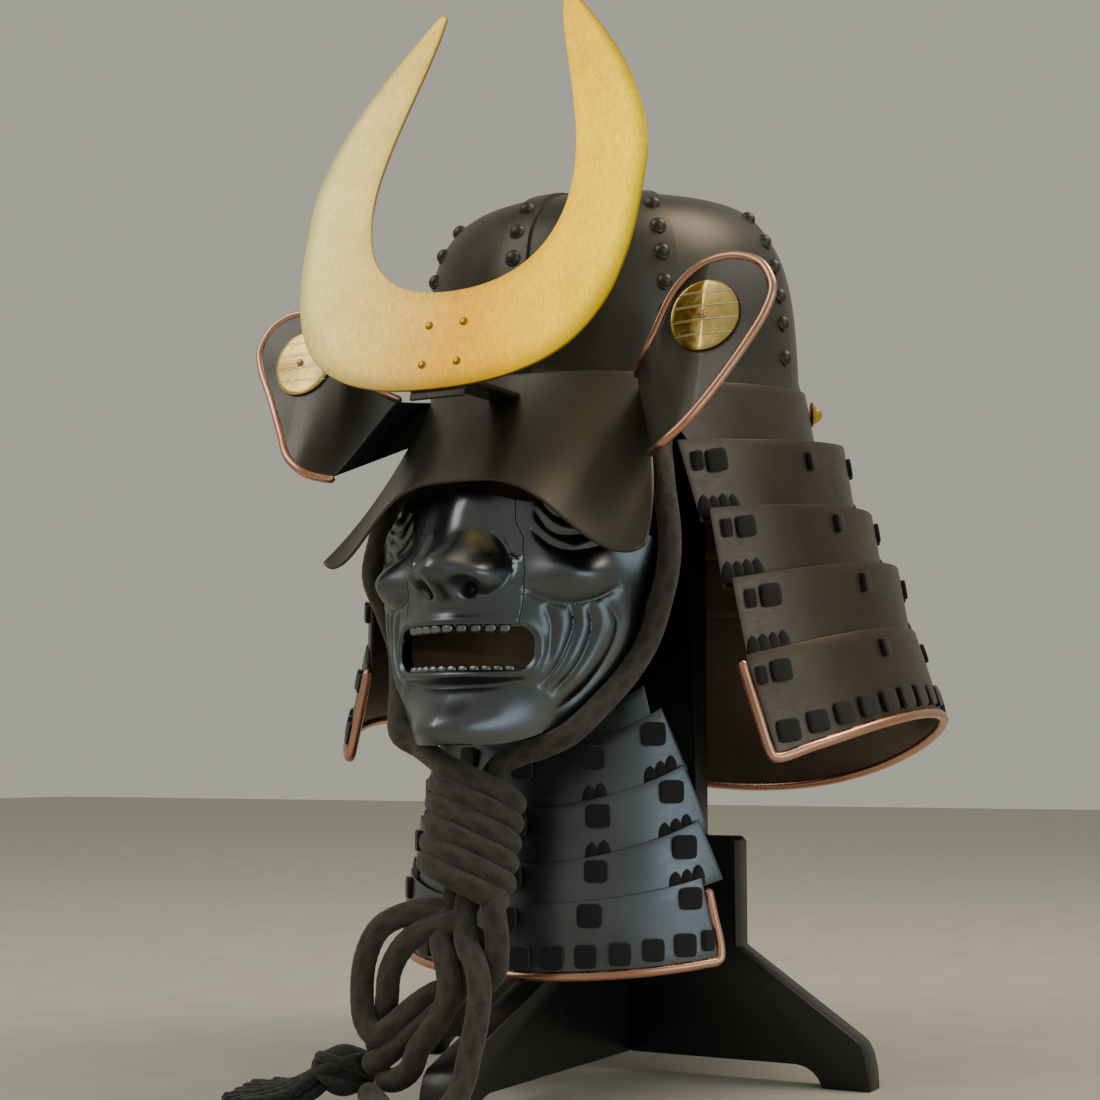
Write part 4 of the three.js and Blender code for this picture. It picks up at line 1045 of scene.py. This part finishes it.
def makeStuds():
    profile = [
        (0, 0), (7, 0), (8, 0.4), (8.2, 1), (7.4, 1.8), (6.2, 2.4), (5.2, 3.8), (4.4, 5.4), (3.2, 6.8),
        (1.6, 7.5), (0, 7.6),
    ]
    place = guardPoint(0, guard["studTurn"], 0.72)
    out = unit(np.array([place[0], place[1] - guardLines[0]["centre"], 0]))
    pieces = []
    for side, label in ((1, "Left"), (-1, "Right")):
        flip = np.array([side, 1, 1])
        row = ((place + out * 1.2) * flip, out * flip, (0, 0, 1), (1, 1, 1))
        pieces.append(repeatTurned("giltStud" + label, profile, 24, [row], giltBrass))
    return pieces


studLeft, studRight = makeStuds()
dress(studLeft, "brass", "gilt_stud_left")
dress(studRight, "brass", "gilt_stud_right")
print("neck guard ready")

# Side wings, bent out from the front edge of the first lame
wing = {"wall": 1.6, "discX": 131, "discZ": 425, "discRadius": 20, "trimRadius": 2.4, "foldAt": 0.3}
wingUpper = [[78, 402], [86, 407], [101, 421], [115, 447], [129, 456], [146.5, 458], [160, 452], [166, 443]]
wingLower = [
    [102, 352], [109, 353], [118, 357], [130, 368], [141, 385], [155, 408], [164.5, 425], [167.6, 436],
]


def wingDepth(x, z):
    toRoot = np.maximum(105 - x, 0)
    plan = -154.5 + 0.1 * np.abs(x - wing["discX"]) + 0.029 * toRoot**2
    high = z - wing["discZ"]
    return plan + (0.14 * high + 0.003 * high * np.abs(high)) * smoothStep(x, 85, 125)


def wingEdge(line, share, inset, side):
    point = splineAt(line, share)
    ahead = unit(splineAt(line, np.minimum(share + 1e-3, 1)) - splineAt(line, np.maximum(share - 1e-3, 0)))
    x = point[..., 0] + ahead[..., 1] * inset * side
    z = point[..., 1] - ahead[..., 0] * inset * side
    return join3(x, wingDepth(x, z), z)


def wingPoint(u, v):
    fold = wing["foldAt"]
    share = mix(0.02, 0.965, np.maximum((u - fold) / (1 - fold), 0))
    low = wingEdge(wingLower, share, wing["trimRadius"] - 0.8, -1)
    high = wingEdge(wingUpper, share, wing["trimRadius"] - 0.8, 1)
    point = mix(low, high, v[..., None])
    point[..., 1] = wingDepth(point[..., 0], point[..., 2])
    lameShare = mix(0.5, 1, v)
    lame = guardLames[0]
    seat = guardPoint(0, -mix(lame["endFoot"], lame["endTop"], lameShare) - 0.3, lameShare)
    bent = mix(seat, point, np.minimum(u / fold, 1)[..., None])
    return np.where((u < fold)[..., None], bent, point)


def wingTrimLine():
    shares = np.array([0, 0.12, 0.25, 0.4, 0.55, 0.7, 0.85, 1])
    upper = wingEdge(wingUpper, shares, 0, 1)
    lower = wingEdge(wingLower, shares[::-1], 0, -1)
    return routeThrough(np.concatenate([upper, lower]) + (0, wing["wall"] / 2, 0), 1.5)


def makeDisc(side):
    radii = np.concatenate([np.linspace(0, 0.94, 12), [0.985, 1.0]]) * wing["discRadius"]
    lifts = np.concatenate([0.5 * (1 - np.linspace(0, 0.94, 12) ** 2) + 1.1, [0.9, 0.2]])
    turn = np.linspace(0, math.tau, 64, endpoint=False)
    x = wing["discX"] + radii[:, None] * np.cos(turn)
    z = wing["discZ"] + radii[:, None] * np.sin(turn)
    y = wingDepth(x, z) - 0.8 - lifts[:, None]
    front = join3(x, y, z).reshape(-1, 3)
    faces = gridFaces(len(radii), 64, closed=True).tolist()
    back = join3(x[-1], wingDepth(x[-1], z[-1]) - 0.3, z[-1])
    start, ring = (len(radii) - 1) * 64, len(front)
    faces += [[start + j, start + (j + 1) % 64, ring + (j + 1) % 64, ring + j] for j in range(64)]
    faces.append([ring + j for j in range(64)])
    points = np.concatenate([front, back]) * (side, 1, 1)
    return addPiece("discLeft" if side > 0 else "discRight", points, faces, discBrass, 40)


def makeDiscRivets():
    profile = [(2.3, 0), (2.3, 0.4), (1.8, 1.1), (1.0, 1.5), (0, 1.6)]
    y = float(wingDepth(np.array(wing["discX"]), np.array(wing["discZ"]))) - 2.2
    rows = [((side * wing["discX"], y, wing["discZ"]), (0, -1, 0), (0, 0, 1), (1, 1, 1)) for side in (1, -1)]
    return repeatTurned("discRivets", profile, 14, rows, copperTube)


foldShares = np.concatenate([np.linspace(0, wing["foldAt"], 12), np.linspace(wing["foldAt"], 1, 60)[1:]])
for side, label in ((1, "left"), (-1, "right")):
    title = label.capitalize()
    plate = sheetPiece("wing" + title, wingPoint, wing["wall"], foldShares, 36, wingIron, 0.3, side < 0, 60)
    dress(plate, "lame", f"wing_{label}")
    trim = tubePiece("wingRim" + title, wingTrimLine(), wing["trimRadius"], 16, copperTube, flipX=side < 0)
    dress(trim, "copper", f"wing_trim_{label}")
    dress(makeDisc(side), "brass", f"wing_disc_{label}")
dress(makeDiscRivets(), "copper")
print("wings ready")

# Face mask: distance of its surface from the axis by height and by angle from the front
mask = {
    "axisY": -105, "end": 84, "wall": 2, "noseHalf": 35, "noseFoot": 257.4, "mouthHalf": 42,
    "mouthTop": 261.4, "mouthFoot": 237.2, "mouthRound": 9, "jawShare": 0.16, "foldFade": 6,
}
maskSections = [
    (190, [94, 74, 66, 66]), (210, [96, 80, 67, 64]), (232, [90, 83, 74, 66]), (252, [93, 84, 80, 73]),
    (275, [90, 85, 84, 82]), (297, [84, 82, 85, 95]), (345, [70, 77, 85, 97]),
]
# Rounded forms: centre angle, centre height, half-sizes in degrees and mm, and rise
maskForms = [
    (0, 322, 9, 24, 9), (0, 292, 11, 15, 27), (13, 288, 6, 9, 11), (0, 282, 6, 8, 4), (0, 262, 24, 8, 5),
    (0, 205, 17, 13, 13), (43, 289, 14, 11, 10), (42, 240, 12, 18, 4), (7.2, 281, 2.8, 4, -13),
    (62, 262, 12, 26, 3), (0, 234, 26, 3.5, 3),
]
# Folds: points as (angle, height), depth and half-width; one that starts at angle 0 is whole there
maskFolds = [
    ([(32.8, 273), (35.4, 262), (34.8, 249), (31.1, 237)], 2.2, 2.4),
    ([(42.3, 273), (44.2, 262.5), (41.3, 249.6), (37, 238), (30.5, 228)], 3.4, 2.6),
    ([(49, 273), (51.5, 261.5), (48.6, 247.3), (43.2, 235.7), (35, 223.5)], 3.4, 2.6),
    ([(55, 276), (62.1, 263.2), (58.9, 245), (49.9, 228.4), (37.8, 216)], 2.2, 3.2),
    ([(25, 283), (30, 277), (41, 273), (53, 276.5), (62, 284)], 3.0, 2.6),
    ([(29, 325), (34.7, 314), (41.4, 310.5), (50.4, 312.2), (60, 318)], 3.0, 2.4),
    ([(27.5, 315), (34.6, 306), (42.5, 301.7), (50.2, 303.4), (61, 308)], 3.0, 2.4),
    ([(30.5, 331), (37, 321.5), (46, 318.5), (56, 321)], 2.4, 2.2),
    ([(8, 276), (14, 277.5), (19, 284), (21, 293), (18, 304), (13, 313)], 3.0, 2.0),
    ([(0, 228), (14, 229), (26, 232.5)], 2.0, 2.6),
    ([(19, 298), (21.5, 298.2), (24.4, 298)], 1.8, 1.2),
]
jawLine = [197, 199, 211, 236, 272]
browLine = [338, 330, 326, 318, 306]
mmPerDegree = 1.55


def foldRelief(side, z, points, depth, width):
    line = splineAt(np.array(points, float), np.linspace(0, 1, 50)) * (mmPerDegree, 1)
    here = np.stack([side.ravel() * mmPerDegree, z.ravel()], -1)
    best = np.full(len(here), np.inf)
    share = np.zeros(len(here))
    for i in range(len(line)):
        gap = here - line[i]
        far = np.hypot(gap[:, 0], gap[:, 1])
        nearer = far < best
        best = np.where(nearer, far, best)
        share = np.where(nearer, i / (len(line) - 1), share)
    toEnd = 1 - share if points[0][0] == 0 else np.minimum(share, 1 - share)
    fade = np.clip(toEnd * mask["foldFade"], 0, 1)
    return (-depth * np.exp(-((best / width) ** 1.3)) * fade).reshape(side.shape)


def sectionReach(side, z):
    heights = np.array([s[0] for s in maskSections], float)
    rows = np.stack([splineAt(np.array(s[1], float), side / 90) for s in maskSections])
    z = np.clip(z, heights[0], heights[-1])
    i = np.clip(np.searchsorted(heights, z, side="right") - 1, 0, len(heights) - 2)
    slope = np.gradient(rows, heights, axis=0)
    take = lambda table, k: np.take_along_axis(table, k[None, ...], 0)[0]
    gap = heights[i + 1] - heights[i]
    t = (z - heights[i]) / gap
    a, b, ma, mb = take(rows, i), take(rows, i + 1), take(slope, i) * gap, take(slope, i + 1) * gap
    early = (2 * t**3 - 3 * t**2 + 1) * a + (t**3 - 2 * t**2 + t) * ma
    return early + (3 * t**2 - 2 * t**3) * b + (t**3 - t**2) * mb


def mouthAway(x, z):
    m = mask
    middle, tall = (m["mouthTop"] + m["mouthFoot"]) / 2, (m["mouthTop"] - m["mouthFoot"]) / 2
    dx = np.abs(x) - m["mouthHalf"] + m["mouthRound"]
    dz = np.abs(z - middle) - tall + m["mouthRound"]
    outside = np.hypot(np.maximum(dx, 0), np.maximum(dz, 0))
    return outside + np.minimum(np.maximum(dx, dz), 0) - m["mouthRound"]


def maskReach(deg, z):
    side = np.abs(deg)
    reach = sectionReach(side, z)
    for at, high, spread, tall, rise in maskForms:
        up = ((z - high) / tall) ** 2
        reach = reach + rise * np.exp(-(((side - at) / spread) ** 2) - up)
        if at > 0:
            reach = reach + rise * np.exp(-(((side + at) / spread) ** 2) - up)
    for fold in maskFolds:
        reach = reach + foldRelief(side, z, *fold)
    away = mouthAway(reach * np.sin(np.radians(deg)), z)
    lowShare = 1 - smoothStep(z, 244, 262)
    lip = mix(0.7, 2.9, lowShare) * np.exp(-(((away - 2.4) / mix(1.8, 3.0, lowShare)) ** 2))
    return reach + lip


def maskPoint(deg, z, inward=0):
    reach = maskReach(deg, z) - inward
    turn = np.radians(deg)
    return join3(reach * np.sin(turn), mask["axisY"] - reach * np.cos(turn), z)


# Throat guard: radius and height of each lame's edges at the front, their rise at its ends, end angles
throatCentreY = -20
throatWall = 1.5
throatKeys = ("node", "rTop", "rFoot", "top", "foot", "riseTop", "riseFoot", "endTop", "endFoot")
throatLames = [dict(zip(throatKeys, row)) for row in (
    ("throat_collar", 89, 95.5, 210, 184, 22, 20, 43, 46),
    ("throat_lame_1", 95.9, 101.8, 195, 158, 24, 26, 48, 56),
    ("throat_lame_2", 104, 107.8, 163, 128, 24, 24, 54, 61),
    ("throat_lame_3", 110, 113.8, 132, 106, 24, 17, 57, 64),
    ("throat_lame_4", 116, 118, 110, 71, 15, 8, 57, 62),
)]


def throatPoint(lame, deg, share, inward=0):
    deg, share = np.asarray(deg, float), np.asarray(share, float)
    radius = mix(lame["rFoot"], lame["rTop"], share) - inward
    top = lame["top"] + lame["riseTop"] * (deg / lame["endTop"]) ** 2
    foot = lame["foot"] + lame["riseFoot"] * (deg / lame["endFoot"]) ** 2
    turn = np.radians(deg)
    return join3(radius * np.sin(turn), throatCentreY - radius * np.cos(turn), mix(foot, top, share))


def maskSurface(u, v):
    deg = mix(-mask["end"], mask["end"], u)
    jawZ = splineAt(np.array(jawLine, float), np.abs(deg) / 84)
    browZ = splineAt(np.array(browLine, float), np.abs(deg) / 84)
    low = v < mask["jawShare"]
    share = np.maximum((v - mask["jawShare"]) / (1 - mask["jawShare"]), 0)
    face = maskPoint(deg, mix(jawZ, browZ, share))
    collar = throatLames[0]
    collarDeg = np.clip(deg * 0.62, -collar["endTop"], collar["endTop"])
    seat = throatPoint(collar, collarDeg, 0.75 + 0 * deg, -0.7)
    jaw = maskPoint(deg, jawZ)
    flange = maskPoint(deg, jawZ, 6)
    seat = mix(seat, flange, smoothStep(np.abs(deg), 50, 70)[..., None])
    under = mix(seat, jaw, np.minimum(v / mask["jawShare"], 1)[..., None])
    return np.where(low[..., None], under, face)


# A block through the mask from front to back, with the outline (x, z) given
def frontBlock(name, outline):
    outline = np.asarray(outline, float)
    count = len(outline)
    front = join3(outline[:, 0], -260, outline[:, 1])
    back = join3(outline[:, 0], -140, outline[:, 1])
    ring = np.arange(count)
    walls = np.stack([ring, np.roll(ring, -1), np.roll(ring, -1) + count, ring + count], -1).tolist()
    faces = walls + [list(range(count)), list(range(count, 2 * count))[::-1]]
    return addPiece(name, np.concatenate([front, back]), faces, maskIron)


def mouthOutline():
    m = mask
    corners = [
        (m["mouthHalf"], m["mouthTop"], 0), (-m["mouthHalf"], m["mouthTop"], 90),
        (-m["mouthHalf"], m["mouthFoot"], 180), (m["mouthHalf"], m["mouthFoot"], 270),
    ]
    made = []
    for x, z, start in corners:
        cx = x - math.copysign(m["mouthRound"], x)
        cz = z - (m["mouthRound"] if start in (0, 90) else -m["mouthRound"])
        for turn in np.radians(np.linspace(start, start + 90, 10)):
            made.append((cx + m["mouthRound"] * math.cos(turn), cz + m["mouthRound"] * math.sin(turn)))
    return made


def noseOutline(grow):
    h = mask["noseHalf"] + grow
    foot = mask["noseFoot"] - 2 - grow
    half = [(h, foot), (h + 2, 290), (h - 1, 303), (h - 1, 308), (h - 6, 318), (h - 12, 400)]
    return half + [(-x, z) for x, z in half[::-1]]


def makeMask():
    across = np.linspace(0, 1, 257)
    up = np.concatenate([np.linspace(0, mask["jawShare"], 12), np.linspace(mask["jawShare"], 1, 150)[1:]])
    points, faces = sheetParts(maskSurface, mask["wall"], across, up)
    shell = addPiece("maskFace", points, faces, maskIron, 60)
    mouth = frontBlock("mouthBlock", mouthOutline())
    cutBy(shell, mouth, "DIFFERENCE")
    nose = shell.copy()
    nose.data = shell.data.copy()
    nose.name = "maskNose"
    scene.collection.objects.link(nose)
    inside = frontBlock("noseBlock", noseOutline(0))
    outside = frontBlock("noseGap", noseOutline(0.45))
    cutBy(nose, inside, "INTERSECT")
    cutBy(shell, outside, "DIFFERENCE")
    for extra in (mouth, inside, outside):
        remove(extra)
    for piece in (shell, nose):
        piece.data.materials.clear()
        piece.data.materials.append(maskIron)
        piece.data.shade_smooth()
        piece.data.set_sharp_from_angle(angle=rad(60))
    return shell, nose


maskFace, maskNose = makeMask()
dress(maskFace, "mask_iron", "mask")
dress(maskNose, "mask_iron", "mask_nose")


# Teeth stand on a strip behind each lip
def makeTeeth(name, lowZ, highZ, toothZ, tall, pitchDeg):
    strip = lambda u, v: maskPoint(mix(-24, 24, u), mix(lowZ, highZ, v), mask["wall"] + 1.2)
    gum = sheetPiece(name + "Gum", strip, 2.2, 60, 4, maskIron, 0.3)
    block = roundedBlock(name + "Shape", 0.7, 12, 6)
    rows = []
    count = int(46 / pitchDeg)
    for i in range(count):
        deg = (i - (count - 1) / 2) * pitchDeg
        place = maskPoint(np.array(deg), np.array(float(toothZ)), mask["wall"] + 3.2)
        turn = rad(deg)
        rows.append((place, (math.sin(turn), -math.cos(turn), 0), (0, 0, 1), (pitchDeg * 1.5, 5.0, tall)))
    teeth = repeatPiece(name, block, rows, teethIron, 0.9, 3)
    remove(block)
    return gum, teeth


upperGum, upperTeeth = makeTeeth("teethUpper", 260.5, 265, 259.6, 5.6, 4.7)
lowerGum, lowerTeeth = makeTeeth("teethLower", 231, 236.6, 237.4, 5.4, 4.1)
for gum, teeth, node in ((upperGum, upperTeeth, "teeth_upper"), (lowerGum, lowerTeeth, "teeth_lower")):
    dress(gum, "mask_iron")
    dress(teeth, "mask_iron", node)
print("mask ready")


def throatSurface(k):
    lame = throatLames[k]
    lowest, trim = (0.02, 1.2) if k == len(throatLames) - 1 else (0, 0)

    def surface(u, v):
        share = mix(lowest, 1, v)
        end = mix(lame["endFoot"], lame["endTop"], share) - trim
        return throatPoint(lame, mix(-end, end, u), share)

    return surface


def makeThroatTrim():
    lame = throatLames[-1]
    near = [throatPoint(lame, deg, 0, throatWall / 2) for deg in range(0, int(lame["endFoot"] - 4), 8)]
    near.append(throatPoint(lame, lame["endFoot"] - 1.2, 0.01, throatWall / 2))
    for share in (0.14, 0.5, 0.86):
        end = mix(lame["endFoot"], lame["endTop"], share)
        near.append(throatPoint(lame, end, share, throatWall / 2))
    near = np.array(near)
    points = np.concatenate([near[:0:-1] * (-1, 1, 1), near])
    return tubePiece("throatRim", routeThrough(points, 1.5), 2.8, 16, copperTube)


def throatRow(k, deg, share, width, tall, thick):
    lame = throatLames[k]
    place = throatPoint(lame, deg, share)
    up = throatPoint(lame, deg, min(share + 0.1, 1)) - throatPoint(lame, deg, share)
    turn = rad(deg)
    out = np.array([math.sin(turn), -math.cos(turn), 0.0])
    return (place - out * 0.2, out, up, (width, thick, tall))


# Lame, angles of its inner and outer pad and their height share; lame, middle and count of its tufts
throatPads = [(1, 24.3, 44.5, 0.72), (2, 26, 49, 0.72), (3, 25.5, 51.5, 0.7), (4, 23.8, 52, 0.8)]
throatTufts = [(0, 41, 2), (1, 46.5, 3), (2, 50, 3), (3, 52, 3), (2, 26, 2), (1, 25, 2)]


def makeThroatLacing():
    block = roundedBlock("throatPadShape", 0.4)
    peak = peakShape()
    pads, peaks = [], []
    for k, inner, outer, high in throatPads:
        pads.append(throatRow(k, 0, high, 15, 14, 3.4))
        for deg in (inner, outer, -inner, -outer):
            pads.append(throatRow(k, deg, high, 15, 14, 3.4))
    for k, middle, count in throatTufts:
        for side in (1, -1):
            for i in range(count):
                deg = middle + (i - (count - 1) / 2) * 3.6
                peaks.append(throatRow(k, side * deg, 0.2, 8.5, 11.5, 3.0))
    for i in range(-6, 6):
        pads.append(throatRow(4, (i + 0.5) * 9.1, 0.26, 13.5, 14, 3.2))
    for side in (1, -1):
        pads.append(throatRow(4, side * 57, 0.26, 7, 12, 3.2))
    padPiece = repeatPiece("throatLacingPads", block, pads, lacingBraid, 0.9, 2)
    peakPiece = repeatPiece("throatLacingPeaks", peak, peaks, lacingBraid, 0.85, 9)
    remove(block)
    remove(peak)
    return padPiece, peakPiece


for k, lame in enumerate(throatLames):
    plate = sheetPiece(f"throatPlate{k}", throatSurface(k), throatWall, 110, 6, throatIron, 0.35)
    dress(plate, "throat_iron", lame["node"])
dress(makeThroatTrim(), "copper", "throat_trim")
for piece in makeThroatLacing():
    dress(piece, "lacing")
print("throat guard ready")

# Stand and head pad
dress(bevelledCopy("crossBoard", "stand_cross_board", standWood, 0.9), "stand_wood", "stand_cross_board")
dress(bevelledCopy("longBoard", "stand_long_board", standWood, 0.9), "stand_wood", "stand_long_board")
feltPad = bevelledCopy("headPad", "head_pad", padFelt, 2.5, 60, 3)
dress(feltPad, "pad", "head_pad")

# Floor and studio light
floorSize = 6.0
floorMesh = bpy.data.meshes.new("floor")
corners = [(x * floorSize, y * floorSize, 0) for x, y in ((-1, -1), (1, -1), (1, 1), (-1, 1))]
floorMesh.from_pydata(corners, [], [(0, 1, 2, 3)])
floor = bpy.data.objects.new("floor", floorMesh)
scene.collection.objects.link(floor)
floorMesh.materials.append(clothFinish("paleFloor", "b9b7ac", "c2c0b5", 40, 0.02, 0.0))

world = bpy.data.worlds.new("studio")
scene.world = world
world.use_nodes = True
world.node_tree.nodes["Background"].inputs["Color"].default_value = colour("b5b4a6")
world.node_tree.nodes["Background"].inputs["Strength"].default_value = 0.9

lights = [
    {"name": "keySoft", "place": (-1.1, -1.3, 1.9), "size": 1.5, "power": 21, "tint": "fffaf0"},
    {"name": "fillBlue", "place": (1.7, -0.5, 0.35), "size": 1.2, "power": 8, "tint": "d6ebf6"},
    {"name": "topWarm", "place": (0.9, 0.4, 1.7), "size": 0.8, "power": 16, "tint": "ffe9d0"},
]
for light in lights:
    lamp = bpy.data.lights.new(light["name"], "AREA")
    lamp.energy = light["power"]
    lamp.size = light["size"]
    lamp.color = colour(light["tint"])[:3]
    holder = bpy.data.objects.new(light["name"], lamp)
    scene.collection.objects.link(holder)
    holder.location = light["place"]
    toward = Vector((0, -0.03, 0.33)) - Vector(light["place"])
    holder.rotation_euler = toward.to_track_quat("-Z", "Y").to_euler()
